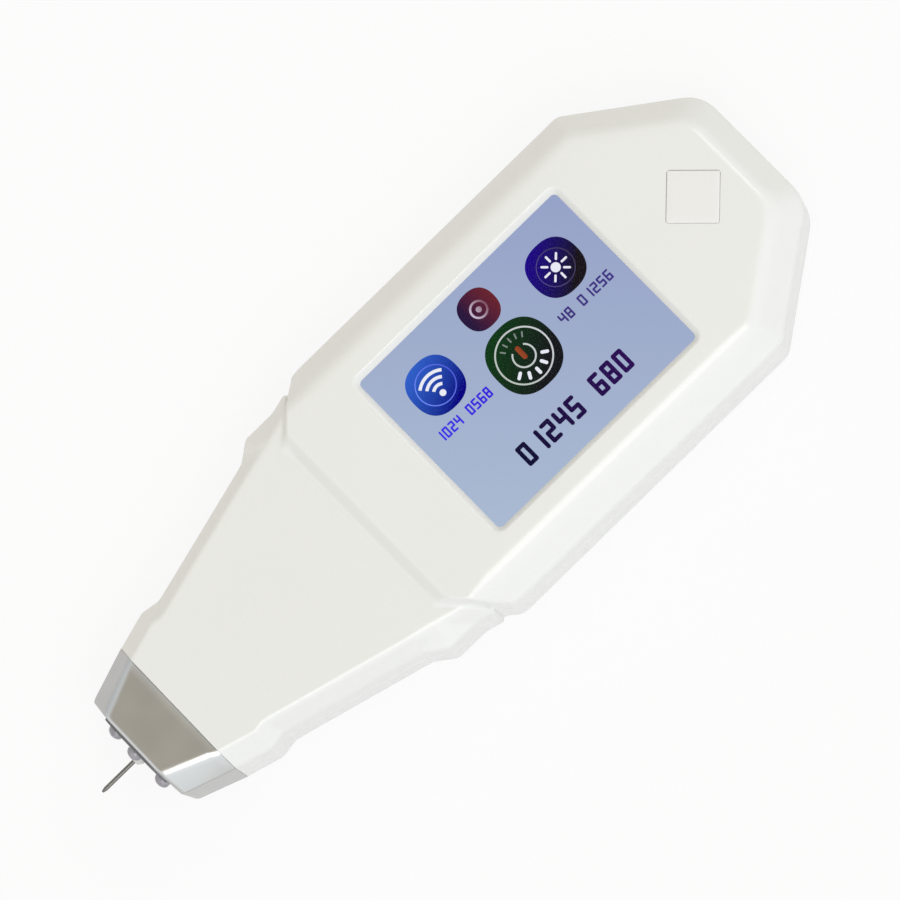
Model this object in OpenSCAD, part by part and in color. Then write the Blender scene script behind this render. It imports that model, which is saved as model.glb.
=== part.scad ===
// Hand-held diamond multi-tester: an eight-sided head with a colour touch screen, a tapered finger grip
// and a faceted metal nose with a sprung needle probe between small lamps. All sizes are in millimetres.
// +X runs from the needle to the head end, +Y is up as the screen is read, +Z points out of the screen.
// The origin is at the middle of the overall length, on the flat underside.

/* [Casing lengths] */
// Needle length in front of the nose's top edge
needle_out = 10.1; // [8:0.1:12]
// Length of the metal nose along its top
nose_l = 10.4; // [10:0.1:13]
// Length of the flared collar behind the nose
collar_l = 7; // [6:0.1:9]
// Length over which the collar steps in to the grip
collar_step_l = 3.8; // [2.8:0.1:5]
// Length of the tapered finger grip
grip_l = 27.4; // [24:0.1:40]
// Length of the step from the grip out to the shoulder
shoulder_step_l = 3.8; // [3:0.1:6]
// Length of the straight shoulder
shoulder_l = 10.8; // [9:0.1:16]
// Length of the step from the shoulder out to the head
head_step_l = 3.1; // [2.2:0.1:4.5]
// Length of the straight head sides
head_side_l = 66.4; // [64:0.1:80]
// Length of the tapered head end
head_taper_l = 21.2; // [20:0.1:26]

/* [Casing widths] */
// Width of the nose at its front
nose_front_w = 23.5; // [22.5:0.1:26]
// Width of the nose where it meets the collar
nose_back_w = 30.4; // [29.5:0.1:32.5]
// Width of the collar at its widest
collar_w = 34.4; // [33.6:0.1:37]
// Width of the grip at its narrow end
grip_front_w = 33.2; // [32.6:0.1:35]
// Width of the grip at its wide end
grip_back_w = 47.8; // [46:0.1:50]
// Width of the shoulder
shoulder_w = 53.4; // [51:0.1:55]
// Width of the head
head_w = 58.4; // [57:0.1:66]
// Width of the flat at the head end
head_end_w = 27; // [25:0.1:34]

/* [Casing heights] */
// Height of the head
head_h = 23; // [22.4:0.1:27]
// Height of the grip and nose
grip_h = 21; // [20.4:0.1:22]
// Height at which the upright side wall starts
wall_low_z = 4; // [3:0.1:5]
// Height at which the upright side wall ends
wall_high_z = 17; // [16:0.1:18]
// Height of the joint between the two shells
parting_z = 11; // [10:0.1:11.4]
// Thickness of the casing
wall = 2; // [1.6:0.1:2.4]

/* [Casing edges] */
// Width of the bevel round the head's top
head_bevel = 5.2; // [4:0.1:6]
// Width of the bevel on the shoulder's top
shoulder_bevel = 4.2; // [3.4:0.1:5]
// Width of the bevel on the grip's top
grip_bevel = 2.7; // [2:0.1:3.4]
// Width of the bevel on the nose and collar
nose_bevel = 3.6; // [3:0.1:4.2]
// Width of the bevel round the underside
base_bevel = 3.2; // [2.4:0.1:4]
// Softening of the head's and the shoulder's top edges
head_edge = 2.4; // [1.6:0.1:3]
// Softening of the grip's top edges
grip_edge = 1.2; // [0.8:0.1:1.6]
// Softening of the metal nose's top edges
nose_edge = 0.3; // [0.2:0.05:0.6]
// Corner radius at the head end, seen from above
end_corner_r = 7; // [4:0.1:9]
// How far the head's top reaches forward over the shoulder
plateau_lead = 3.6; // [2.5:0.1:5]
// Backward slope of the nose's front face, in degrees
nose_rake = 3; // [0:0.5:8]

/* [Screen] */
// Length of the window
window_l = 48.9; // [44:0.1:50]
// Width of the window
window_w = 36.9; // [33:0.1:38]
// Depth from the head's top to the inside of the window's rim
window_depth = 1.2; // [0.9:0.1:1.5]
// Width of the slope round the window
window_slope = 1; // [0.6:0.1:2]
// Distance from the start of the head's sides to the window's middle
window_x = 31.9; // [31:0.1:34]
// Length of the touch glass
glass_l = 55; // [53:0.1:56]
// How far the glass stands in from the panel's long edges
glass_side_in = 0; // [0:0.1:0.6]
// Corner radius of the window and the glass
screen_corner_r = 1; // [0.6:0.1:3]
// Thickness of the touch glass
glass_t = 1.1; // [0.8:0.1:1.4]
// Thickness of the gasket on the glass
gasket_t = 0.3; // [0.2:0.05:0.5]
// Width of the gasket's band along the glass's short edges
gasket_end_w = 2.5; // [2:0.1:2.8]
// Width of the gasket's band along the glass's long edges
gasket_side_w = 1.8; // [1.2:0.1:2]
// Length of the display panel
panel_l = 60.2; // [56:0.1:61]
// Width of the display panel
panel_w = 41.6; // [40:0.1:42.4]
// Corner radius of the display panel
panel_corner_r = 0.6; // [0.3:0.1:1]
// Thickness of the display panel
panel_t = 2.3; // [1.8:0.1:2.6]
// Thickness of the frame under the panel
frame_t = 1.5; // [1.2:0.1:1.8]
// Width of the frame's rails
frame_rail = 4; // [3:0.1:6]

/* [Key] */
// Side of the square power key
key_side = 9.4; // [8:0.1:10.5]
// Corner radius of the key
key_corner_r = 0.9; // [0.5:0.1:1.5]
// Distance from the head end to the middle of the key
key_from_end = 14.3; // [14:0.1:18]
// Travel of the key
key_travel = 0.5; // [0.3:0.05:0.7]
// Gap round the key
key_gap = 0.15; // [0.1:0.01:0.25]
// Width of the lip that holds the key in
key_lip = 0.7; // [0.5:0.1:0.9]
// Thickness of the key's lip
key_lip_t = 0.8; // [0.6:0.1:1]
// Side of the switch body
switch_side = 6; // [5:0.1:6.5]
// Height of the switch body
switch_h = 1.6; // [1.4:0.1:1.9]
// Diameter of the switch plunger
plunger_d = 3; // [2.4:0.1:3.4]

/* [Board and battery] */
// Thickness of the main board
board_t = 1.6; // [1.2:0.1:1.8]
// Width of the main board
board_w = 45; // [43:0.1:46]
// Length of the battery
battery_l = 46; // [38:0.1:48]
// Width of the battery
battery_w = 34; // [28:0.1:34.5]
// Thickness of the battery
battery_t = 6; // [4.5:0.1:6.6]
// Thickness of the battery's pad
pad_t = 0.8; // [0.5:0.1:1.2]
// Width of the charging socket
socket_w = 8.94; // [8.9:0.02:9]
// Height of the charging socket
socket_h = 3.26; // [3.2:0.02:3.3]
// Length of the charging socket
socket_l = 8.6; // [7.3:0.1:9]
// Thickness of the charging socket's metal
socket_wall = 0.3; // [0.25:0.05:0.4]

/* [Probe] */
// Height of the needle's axis
probe_z = 11; // [10.6:0.1:11.4]
// Diameter of the needle
needle_d = 0.9; // [0.7:0.05:1.1]
// Travel of the needle into the nose
probe_travel = 2; // [1:0.1:2.5]
// Length of the bush in front of the nose's top edge
bush_out = 2.8; // [1.8:0.1:3.4]
// Diameter of the bush
bush_d = 3; // [2.6:0.1:3.2]
// Outer diameter of the barrel
barrel_d = 8; // [7.4:0.1:8.6]
// Diameter of the carrier in the barrel
carrier_d = 5; // [4.6:0.1:5.4]
// Length of the carrier
carrier_l = 10; // [8:0.1:11]
// Room left behind the heater at full travel
spring_spare = 5; // [4:0.1:7]
// Diameter of the spring wire
wire_d = 0.5; // [0.4:0.05:0.55]
// Number of spring turns
spring_turns = 7; // [5:1:7]
// Diameter of the lamps
lamp_d = 3; // [2.6:0.1:3.2]
// Distance of the side lamps from the needle
lamp_side = 6.1; // [5.6:0.1:6.4]
// Distance of the upper lamp above the needle
lamp_up = 4.6; // [4.2:0.1:4.6]
// Length of the lamps in front of the nose's top edge
lamp_out = 1.2; // [0.8:0.1:2.2]

/* [Fits and fasteners] */
// Radial clearance of sliding round parts
slide_fit = 0.05; // [0.03:0.01:0.08]
// Clearance between fixed parts
loose_fit = 0.2; // [0.15:0.01:0.25]
// Diameter of the case screws
screw_d = 2; // [1.8:0.1:2.2]
// Diameter of the screw heads
screw_head_d = 3.8; // [3.4:0.1:4]
// Height of the screw heads
screw_head_h = 1; // [0.8:0.1:1.2]

/* [Hidden] */
$fn = 48;

// Stations along the tester
total_l = needle_out + nose_l + collar_l + collar_step_l + grip_l + shoulder_step_l + shoulder_l
    + head_step_l + head_side_l + head_taper_l;
x_tip = -total_l / 2;
x_front = x_tip + needle_out;
x_joint = x_front + nose_l;
x_collar = x_joint + collar_l;
x_grip_front = x_collar + collar_step_l;
x_grip_back = x_grip_front + grip_l;
x_shoulder = x_grip_back + shoulder_step_l;
x_shoulder_back = x_shoulder + shoulder_l;
x_head = x_shoulder_back + head_step_l;
x_taper = x_head + head_side_l;
x_end = x_taper + head_taper_l;
x_head_front = x_shoulder_back - plateau_lead - head_bevel;
x_window = x_head + window_x;
x_key = x_end - key_from_end;

// Width of the glass, and levels of the screen stack from the window down to the main board
glass_w = panel_w - 2 * glass_side_in;
rim_z = head_h - window_depth;
glass_z = rim_z - gasket_t - glass_t;
panel_z = glass_z - panel_t;
board_top = panel_z - frame_t;
board_z = board_top - board_t;
ceiling_z = head_h - wall;

// Room past a cut, and the thickness of a thin layer
past = 8;
film = 0.01;

// Points of an arc that rounds the corner b between the points a and c
arc_steps = 4;
function unit(v) = v / norm(v);
function corner_arc(a, b, c, r) =
    let (u = unit(a - b))
    let (w = unit(c - b))
    let (half = acos(u * w) / 2)
    let (middle = b + unit(u + w) * r / sin(half))
    let (first = b + u * r / tan(half) - middle)
    let (start = atan2(first.y, first.x))
    let (turn = (180 - 2 * half) * sign(cross(-u, w)))
    [for (i = [0 : arc_steps])
        let (angle = start + turn * i / arc_steps)
        middle + r * [cos(angle), sin(angle)]];

// Plan of the tester: stations along it and the half width there
nose_slope = (nose_back_w - nose_front_w) / 2 / nose_l;
taper_angle = atan2((head_w - head_end_w) / 2, head_taper_l);
plan = concat([
    [x_front - past, nose_front_w / 2 - nose_slope * past],
    [x_joint, nose_back_w / 2],
    [x_collar, collar_w / 2],
    [x_grip_front, grip_front_w / 2],
    [x_grip_back, grip_back_w / 2],
    [x_shoulder, shoulder_w / 2],
    [x_shoulder_back, shoulder_w / 2],
    [x_head, head_w / 2],
    [x_taper, head_w / 2]],
    corner_arc([x_taper, head_w / 2], [x_end, head_end_w / 2], [x_end, 0], end_corner_r));
function half_w(x) = lookup(x, plan);

// Half width of the plan drawn in by a distance, with the corner before the tapered end mitred
function taper_y(x) = head_w / 2 - (x - x_taper) * tan(taper_angle);
function drawn_in_y(x, d) = x < x_taper
    ? min(half_w(x) - d, taper_y(x) - d / cos(taper_angle))
    : half_w(x) - d / cos(taper_angle);

// Height of the top, width of the bevel below it and softening of the edge between them
x_plateau = x_shoulder_back - plateau_lead;
x_step = x_plateau - head_bevel * (head_h - grip_h) / (head_h - wall_high_z);
function top_z(x) = lookup(x, [[x_step, grip_h], [x_plateau, head_h]]);
function bevel_w(x) = lookup(x, [
    [x_collar, nose_bevel],
    [x_grip_front, grip_bevel],
    [x_grip_back, grip_bevel],
    [x_shoulder, shoulder_bevel],
    [x_shoulder_back, shoulder_bevel],
    [x_head, head_bevel]]);
function edge_w(x) = lookup(x, [
    [x_joint, nose_edge],
    [x_collar, grip_edge],
    [x_grip_back, grip_edge],
    [x_shoulder, head_edge]]);

// Upper part of a section, from the wall to the top: distances drawn in and heights, inside by an inset.
// The hollow's edges are sharper than the outer ones.
inner_edge = 0.6;
function top_profile(x, inset) =
    let (rise = top_z(x) - inset - wall_high_z)
    let (run = bevel_w(x))
    let (angle = atan2(rise, run))
    let (edge = edge_w(x) * (inset > 0 ? inner_edge : 1))
    [[0, wall_high_z],
        [run - edge * cos(angle), wall_high_z + rise - edge * sin(angle)],
        [run + edge / 6, wall_high_z + rise - edge * tan(angle / 2) / 2],
        [run + edge, wall_high_z + rise]];

// Half of the section across the tester at a station. Near the head end the heights are held down by the
// end's own bevels, and the points that the end has no room for are spread along its top and bottom edges.
spread = 0.1;
function half_section(x, inset) =
    let (room = x_end - inset - x)
    let (low = lookup(room, [[0, wall_low_z], [base_bevel, inset]]))
    let (high = lookup(room, top_profile(x_taper, inset)))
    let (levels = concat([[base_bevel, inset], [0, wall_low_z]], top_profile(x, inset)))
    [for (k = [0 : len(levels) - 1])
        let (d = levels[k].x)
        let (share = d > room ? 1 - spread * (k + 1) : 1)
        [drawn_in_y(x, inset + min(d, room)) * share, max(low, min(high, levels[k].y))]];
function mirrored(half, flip) = concat(half, [for (i = [len(half) - 1 : -1 : 0])
    [half[i].x * flip.x, half[i].y * flip.y]]);
function section(x, inset) = [for (p = mirrored(half_section(x, inset), [-1, 1])) [x, p.x, p.y]];

// Stations of the sections: the plan's corners, the step to the head and the corners of the end's bevels
function sorted(v) = len(v) < 2 ? v :
    let (pivot = v[floor(len(v) / 2)])
    concat(sorted([for (a = v) if (a < pivot) a]), [pivot], sorted([for (a = v) if (a > pivot) a]));
function stations(first, last, inset) =
    let (drawn = [base_bevel, for (p = top_profile(x_taper, inset)) p.x])
    let (all = [for (p = plan) p.x, x_step, x_plateau, for (d = drawn) x_end - inset - d,
        for (d = drawn) x_taper - (inset + d) * tan(taper_angle / 2)])
    sorted([first, last, for (x = all) if (x > first && x < last) x]);

// The tester's outer form, or its hollow with an inset, between two stations
module loft(first, last, inset = 0) {
    sections = [for (x = stations(first, last, inset)) section(x, inset)];
    m = len(sections[0]);
    n = len(sections);
    sides = [for (i = [0 : n - 2]) for (k = [0 : m - 1])
        let (a = i * m + k)
        let (b = i * m + (k + 1) % m)
        each [[a, a + m, b + m], [a, b + m, b]]];
    ends = [[for (k = [0 : m - 1]) k], [for (k = [m - 1 : -1 : 0]) (n - 1) * m + k]];
    polyhedron([for (s = sections) each s], concat(sides, ends));
}

// Outline of the casing seen from above, with the collar's sides run on past the joint with the nose
collar_slope = (collar_w - nose_back_w) / 2 / collar_l;
case_outline = mirrored([
    [x_joint - past, nose_back_w / 2 - collar_slope * past],
    for (p = plan) if (p.x > x_joint) p], [1, -1]);

// An outline drawn in by a distance, with its corners kept sharp
function outward(a, b) = let (v = unit(b - a)) [-v.y, v.x];
function drawn_in(outline, d) =
    let (n = len(outline))
    [for (i = [0 : n - 1])
        let (before = outward(outline[(i + n - 1) % n], outline[i]))
        let (after = outward(outline[i], outline[(i + 1) % n]))
        outline[i] - d * (before + after) / (1 + before * after)];

// A form from mirrored outlines stacked upwards, each level a distance drawn in and a height. Strips across
// close its ends.
module stacked(outline, levels) {
    n = len(outline);
    last = (len(levels) - 1) * n;
    sides = [for (i = [0 : len(levels) - 2]) for (k = [0 : n - 1])
        let (a = i * n + k)
        let (b = i * n + (k + 1) % n)
        [a, b, b + n, a + n]];
    ends = [for (k = [0 : n / 2 - 2])
        each [[n - 1 - k, n - 2 - k, k + 1, k], [last + k, last + k + 1, last + n - 2 - k, last + n - 1 - k]]];
    polyhedron([for (l = levels) for (p = drawn_in(outline, l.x)) [p.x, p.y, l.y]], concat(sides, ends));
}

// Upper half of the casing as a hollow form
module casing_top() {
    difference() {
        loft(x_joint, x_end);
        loft(x_joint - past, x_end - wall, wall);
        translate([x_joint - past, -head_w, parting_z - head_h])
            cube([total_l, 2 * head_w, head_h]);
    }
}

// Lower half of the casing as a hollow form
module casing_low() {
    difference() {
        stacked(case_outline, [[base_bevel, 0], [0, wall_low_z], [0, parting_z]]);
        stacked(case_outline, [[wall + base_bevel, wall], [wall, wall_low_z], [wall, parting_z + past]]);
        translate([x_joint - 2 * past, -head_w, -past])
            cube([2 * past, 2 * head_w, head_h]);
    }
}

// A plate with round corners, lying flat with its middle at the origin
module round_plate(length, width, thickness, r) {
    linear_extrude(thickness) {
        square([length - 2 * r, width], center = true);
        square([length, width - 2 * r], center = true);
        for (x = [-1, 1])
            for (y = [-1, 1])
                translate([x * (length / 2 - r), y * (width / 2 - r)])
                    circle(r);
    }
}

// A round bar along +X from a station, on a given axis
module bar_x(x, y, z, length, d) {
    translate([x, y, z])
        rotate([0, 90, 0])
            cylinder(h = length, d = d);
}

// Sizes of the screws' holes and of the bosses, towers and pillars round them
thread_fit = 0.05;
pilot_d = screw_d + 2 * thread_fit;
hole_d = screw_d + 2 * loose_fit;
seat_d = screw_head_d + 2 * loose_fit;
hole_spare = 1;
boss_wall = 1.8;
pillar_wall = 1.2;
boss_d = hole_d + 2 * boss_wall;
tower_d = seat_d + 2 * boss_wall;
pillar_d = hole_d + 2 * pillar_wall;

// Case screws: two under the shoulder and two beside the tapered head end
case_seat_z = 6;
case_grip = 5;
front_screw_in = 1.4;
front_screw_room = 0.8;
back_screw_in = 8.4;
tower_room = 0.15;
front_screw_y = grip_back_w / 2 - wall - boss_d / 2 - front_screw_room;
back_screw_y = head_w / 2 - back_screw_in * tan(taper_angle)
    - (wall + tower_d / 2 + tower_room) / cos(taper_angle);
case_spots = [
    for (y = [-1, 1]) [x_head_front + front_screw_in, y * front_screw_y],
    for (y = [-1, 1]) [x_taper + back_screw_in, y * back_screw_y]];

// Board screws: two at the board's front corners and two behind the display panel
board_front = x_head_front + boss_d;
board_corner = 3;
board_edge = 2.5;
board_screw_gap = 2.4;
board_screw_y = 9.5;
board_screw_x = x_window + panel_l / 2 + loose_fit + screw_head_d / 2 + board_screw_gap;
board_spots = [
    for (y = [-1, 1]) [board_front + board_edge, y * (board_w / 2 - board_corner - board_edge)],
    for (y = [-1, 1]) [board_screw_x, y * board_screw_y]];

// Nose screws, up through the casing's floor and the spigot into the probe's holder
head_sink = 0.1;
nose_seat_z = screw_head_h + head_sink;
nose_grip = 6;
nose_screw_wall = 1.3;
spigot_l = 6;
nose_screw_y = barrel_d / 2 + slide_fit + nose_screw_wall + pilot_d / 2;
nose_spots = [for (y = [-1, 1]) [x_joint + spigot_l / 2, y * nose_screw_y]];

// Upright holes at a list of places
module upright_holes(spots, low, high, d) {
    for (p = spots)
        translate([p.x, p.y, low])
            cylinder(h = high - low, d = d);
}

// The slot in the head end for the charging socket
socket_gap = 0.25;
socket_mouth = 0.4;
module socket_slot() {
    translate([x_end - past, -socket_w / 2 - socket_gap, board_z - socket_h - socket_gap])
        cube([2 * past, socket_w + 2 * socket_gap, socket_h + 2 * socket_gap]);
}

// The key's square, turned so that a corner points along the tester
module key_plate(side, thickness, r) {
    rotate(45)
        round_plate(side, side, thickness, r);
}

// Upper half of the casing, with the window, the pocket for the screen and the key's hole
module top_shell() {
    color("whitesmoke")
        difference() {
            union() {
                casing_top();
                upright_holes(case_spots, parting_z, grip_h - wall, boss_d);
            }
            hull() {
                translate([x_window, 0, rim_z])
                    round_plate(window_l, window_w, film, screen_corner_r);
                translate([x_window, 0, head_h])
                    round_plate(window_l + 2 * window_slope, window_w + 2 * window_slope, film,
                        screen_corner_r + window_slope);
            }
            translate([x_window, 0, panel_z])
                round_plate(glass_l + 2 * loose_fit, glass_w + 2 * loose_fit, rim_z - panel_z,
                    screen_corner_r);
            translate([x_window, 0, rim_z - film])
                round_plate(window_l, window_w, 2 * film, screen_corner_r);
            translate([x_window - panel_l / 2 - loose_fit, -panel_w / 2 - loose_fit, board_top])
                cube([panel_l + 2 * loose_fit, panel_w + 2 * loose_fit, glass_z - board_top]);
            translate([x_key, 0, ceiling_z - wall])
                key_plate(key_side + 2 * key_gap, 3 * wall, key_corner_r + key_gap);
            upright_holes(case_spots, parting_z - hole_spare, parting_z + case_grip + hole_spare, pilot_d);
            socket_slot();
        }
}

// Lower half of the casing, with the screw towers and the pillars under the main board
module bottom_shell() {
    color("whitesmoke")
        difference() {
            union() {
                casing_low();
                upright_holes(case_spots, wall / 2, parting_z, tower_d);
                upright_holes(board_spots, wall / 2, board_z, pillar_d);
            }
            upright_holes(case_spots, -hole_spare, case_seat_z, seat_d);
            upright_holes(case_spots, -hole_spare, parting_z + hole_spare, hole_d);
            upright_holes(board_spots, board_z - case_grip - hole_spare, board_z + hole_spare, pilot_d);
            upright_holes(nose_spots, -hole_spare, nose_seat_z, seat_d);
            upright_holes(nose_spots, -hole_spare, wall + hole_spare, hole_d);
            socket_slot();
        }
}

// Inside of the nose: its front wall, the tunnel for the lamps and holder, and the spigot in the casing
nose_wall = 4.5;
nose_gap = 0.1;
x_front_wall = x_front + nose_wall;
spigot_side_t = 1.7;
spigot_floor_t = 2.2;
spigot_half = nose_back_w / 2 - wall - loose_fit - nose_gap;
spigot_top = grip_h - wall - loose_fit - nose_gap;
lamp_flange_d = lamp_d + 0.6;
tunnel_half = spigot_half - spigot_side_t;
tunnel_low = wall + spigot_floor_t;
tunnel_high = probe_z + lamp_up + lamp_flange_d / 2 + nose_gap;
lamp_spots = [[lamp_side, 0], [-lamp_side, 0], [0, lamp_up]];

// Outline of the spigot across the tester: it follows the hollow of the casing
spigot_bevel = nose_bevel * (spigot_top - wall_high_z) / (grip_h - wall - wall_high_z);
module spigot_outline() {
    polygon(mirrored([
        [spigot_half - base_bevel, wall],
        [spigot_half, wall_low_z],
        [spigot_half, wall_high_z],
        [spigot_half - spigot_bevel, spigot_top]], [-1, 1]));
}

// Faceted metal nose with a raked front and a spigot that slides into the casing
module nose_cap() {
    color("silver")
        difference() {
            union() {
                loft(x_front - past, x_joint - nose_gap);
                translate([x_joint - 2 * nose_gap, 0, 0])
                    rotate([90, 0, 90])
                        linear_extrude(spigot_l + 2 * nose_gap)
                            spigot_outline();
            }
            translate([x_front, 0, grip_h])
                rotate([0, -nose_rake, 0])
                    translate([-2 * past, -head_w / 2, -2 * grip_h])
                        cube([2 * past, head_w, 4 * grip_h]);
            translate([x_front_wall, -tunnel_half, tunnel_low])
                cube([2 * nose_l, 2 * tunnel_half, tunnel_high - tunnel_low]);
            for (p = lamp_spots)
                bar_x(x_front - past, p.x, probe_z + p.y, 2 * past, lamp_d + 2 * slide_fit);
            bar_x(x_front - past, 0, probe_z, 2 * past, bush_d + 2 * slide_fit);
            upright_holes(nose_spots, 0, tunnel_low + hole_spare, hole_d);
        }
}

// Soft frame between the window's rim and the glass, set back from the window
module screen_gasket() {
    color("dimgray")
        translate([x_window, 0, rim_z - gasket_t])
            difference() {
                round_plate(glass_l, glass_w, gasket_t, screen_corner_r);
                translate([0, 0, -gasket_t])
                    round_plate(glass_l - 2 * gasket_end_w, glass_w - 2 * gasket_side_w, 3 * gasket_t,
                        screen_corner_r);
            }
}

// Touch glass under the window
module touch_glass() {
    color("lightsteelblue")
        translate([x_window, 0, glass_z])
            round_plate(glass_l, glass_w, glass_t, screen_corner_r);
}

// Display panel under the glass
module lcd_panel() {
    color("slategray")
        translate([x_window, 0, panel_z])
            round_plate(panel_l, panel_w, panel_t, panel_corner_r);
}

// Frame that carries the panel on the main board
module lcd_frame() {
    color("white")
        translate([x_window, 0, board_top])
            difference() {
                round_plate(panel_l, panel_w, frame_t, panel_corner_r);
                translate([0, 0, -frame_t])
                    round_plate(panel_l - 2 * frame_rail, panel_w - 2 * frame_rail, 3 * frame_t,
                        panel_corner_r);
            }
}

// Flat cable from the panel's front edge down to the main board
ribbon_t = 0.3;
ribbon_w = 22;
ribbon_out = 1;
module lcd_ribbon() {
    panel_front = x_window - panel_l / 2;
    ribbon_z = panel_z + panel_t / 2;
    color("darkgoldenrod")
        translate([panel_front, ribbon_w / 2, 0])
            rotate([90, 0, 0])
                linear_extrude(ribbon_w)
                    polygon([
                        [0, ribbon_z],
                        [0, ribbon_z + ribbon_t],
                        [-ribbon_out - ribbon_t, ribbon_z + ribbon_t],
                        [-ribbon_out - ribbon_t, board_top],
                        [-ribbon_out, board_top],
                        [-ribbon_out, ribbon_z]]);
}

// Square power key: cap, retaining lip and the stem on the switch
plunger_out = 0.9;
plunger_top = board_top + switch_h + plunger_out;
key_lip_gap = 0.1;
key_lip_top = ceiling_z - key_lip_gap;
module power_key() {
    color("whitesmoke")
        translate([x_key, 0, 0]) {
            translate([0, 0, key_lip_top - key_lip_t / 2])
                key_plate(key_side, head_h - key_lip_top + key_lip_t / 2, key_corner_r);
            translate([0, 0, key_lip_top - key_lip_t])
                cylinder(h = key_lip_t, d = key_side + 2 * key_lip);
            translate([0, 0, plunger_top])
                cylinder(h = key_lip_top - key_lip_t / 2 - plunger_top, d = plunger_d);
        }
}

// Plunger of the switch, which moves with the key and stops short of the well's floor
well_floor_t = 0.3;
plunger_spare = 0.2;
plunger_in = switch_h - well_floor_t - plunger_spare - key_travel;
module switch_plunger() {
    color("dimgray")
        translate([x_key, 0, board_top + switch_h - plunger_in])
            cylinder(h = plunger_in + plunger_out, d = plunger_d);
}

// Switch body on the main board, with a well for the plunger
module tact_switch() {
    color("silver")
        translate([x_key, 0, board_top])
            difference() {
                translate([-switch_side / 2, -switch_side / 2, 0])
                    cube([switch_side, switch_side, switch_h]);
                translate([0, 0, well_floor_t])
                    cylinder(h = switch_h, d = plunger_d + 2 * loose_fit);
            }
}

// Main board: full width under the screen, narrowing to the charging socket
board_neck_w = 24;
board_neck_lead = 8;
board_neck_in = 5;
board_tail_w = 16;
board_end_gap = 1;
socket_x = x_end - socket_mouth - socket_l;
board_outline = mirrored([
    [board_front, board_w / 2 - board_corner],
    [board_front + board_corner, board_w / 2],
    [x_taper - board_neck_lead, board_w / 2],
    [x_taper + board_neck_in, board_neck_w / 2],
    [socket_x - board_end_gap, board_tail_w / 2],
    [x_end - socket_mouth - wall - board_end_gap, board_tail_w / 2]], [1, -1]);
module main_board() {
    color("darkgreen")
        difference() {
            translate([0, 0, board_z])
                linear_extrude(board_t)
                    polygon(board_outline);
            upright_holes(board_spots, board_z - hole_spare, board_top + hole_spare, hole_d);
        }
}

// Chips under the main board: middle in X and Y from the window's middle, length, width and height
chips = [[-14, 6, 10, 10, 1.2], [2, 8, 7, 7, 1], [14, -6, 5, 6, 1.4], [26, 10, 4, 4, 1]];
module board_chips() {
    color("dimgray")
        for (c = chips)
            translate([x_window + c[0] - c[2] / 2, c[1] - c[3] / 2, board_z - c[4]])
                cube([c[2], c[3], c[4]]);
}

// Shielded radio module under the main board
radio_size = [16, 12, 2.2];
radio_y = -10;
module radio_module() {
    color("lightgray")
        translate([x_window - radio_size.x / 2, radio_y - radio_size.y / 2, board_z - radio_size.z])
            cube(radio_size);
}

// Sounder under the main board
buzzer_d = 9;
buzzer_h = 4;
buzzer_in = 2;
buzzer_y = -11;
module buzzer() {
    color("black")
        translate([x_window - panel_l / 2 + buzzer_in, buzzer_y, board_z - buzzer_h])
            cylinder(h = buzzer_h, d = buzzer_d);
}

// Charging socket under the board's tail, open at the head end, with a flat tongue
tongue_t = 0.7;
tongue_w = 6.6;
tongue_in = 1;
socket_back_t = 1;
module usb_socket() {
    color("silver")
        translate([socket_x, -socket_w / 2, board_z - socket_h]) {
            difference() {
                cube([socket_l, socket_w, socket_h]);
                translate([socket_back_t, socket_wall, socket_wall])
                    cube([socket_l, socket_w - 2 * socket_wall, socket_h - 2 * socket_wall]);
            }
            translate([socket_back_t / 2, (socket_w - tongue_w) / 2, (socket_h - tongue_t) / 2])
                cube([socket_l - socket_back_t / 2 - tongue_in, tongue_w, tongue_t]);
        }
}

// Flat battery on its pad on the floor of the casing
battery_corner_r = 1.5;
pad_margin = 2;
module battery() {
    color("lightgray")
        translate([x_window, 0, wall + pad_t])
            round_plate(battery_l, battery_w, battery_t, battery_corner_r);
}
module battery_pad() {
    color("black")
        translate([x_window, 0, wall])
            round_plate(battery_l - 2 * pad_margin, battery_w - 2 * pad_margin, pad_t, battery_corner_r);
}

// Stations of the probe behind the nose's front wall
lamp_flange_t = 1;
led_board_t = 1;
x_led_board = x_front_wall + lamp_flange_t;
x_holder = x_led_board + led_board_t;
barrel_flange_t = 1;
holder_l = x_joint + spigot_l - barrel_flange_t - x_holder;
barrel_wall_t = 1.5;
needle_room_d = needle_d + 1;
x_carrier = x_holder + barrel_wall_t;
x_spring = x_carrier + carrier_l;
heater_l = 3;
spring_l = heater_l + probe_travel + spring_spare;
x_cap = x_spring + spring_l;
cap_in = 2;
cap_rim_t = 1.6;
coil_gap = 0.2;
coil_r = (carrier_d - wire_d) / 2 - coil_gap;
heater_gap = 0.25;
heater_d = 2 * coil_r - wire_d - 2 * heater_gap;
needle_short = 0.5;

// Needle probe: a round rod with a rounded tip, held in the carrier
module probe_needle() {
    needle_end = x_spring + heater_l - needle_short;
    color("peru") {
        bar_x(x_tip + needle_d, 0, probe_z, needle_end - x_tip - needle_d, needle_d);
        translate([x_tip, 0, probe_z])
            rotate([0, 90, 0])
                cylinder(h = needle_d, d1 = needle_d / 3, d2 = needle_d);
    }
}

// Insulating carrier that slides in the barrel
module probe_carrier() {
    color("ivory")
        difference() {
            bar_x(x_carrier, 0, probe_z, carrier_l, carrier_d);
            bar_x(x_carrier - past, 0, probe_z, carrier_l + 2 * past, needle_d + 2 * slide_fit);
        }
}

// Heater on the needle's inner end
module probe_heater() {
    color("firebrick")
        difference() {
            bar_x(x_spring, 0, probe_z, heater_l, heater_d);
            bar_x(x_spring - past, 0, probe_z, heater_l + 2 * past, needle_d + 2 * slide_fit);
        }
}

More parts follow.
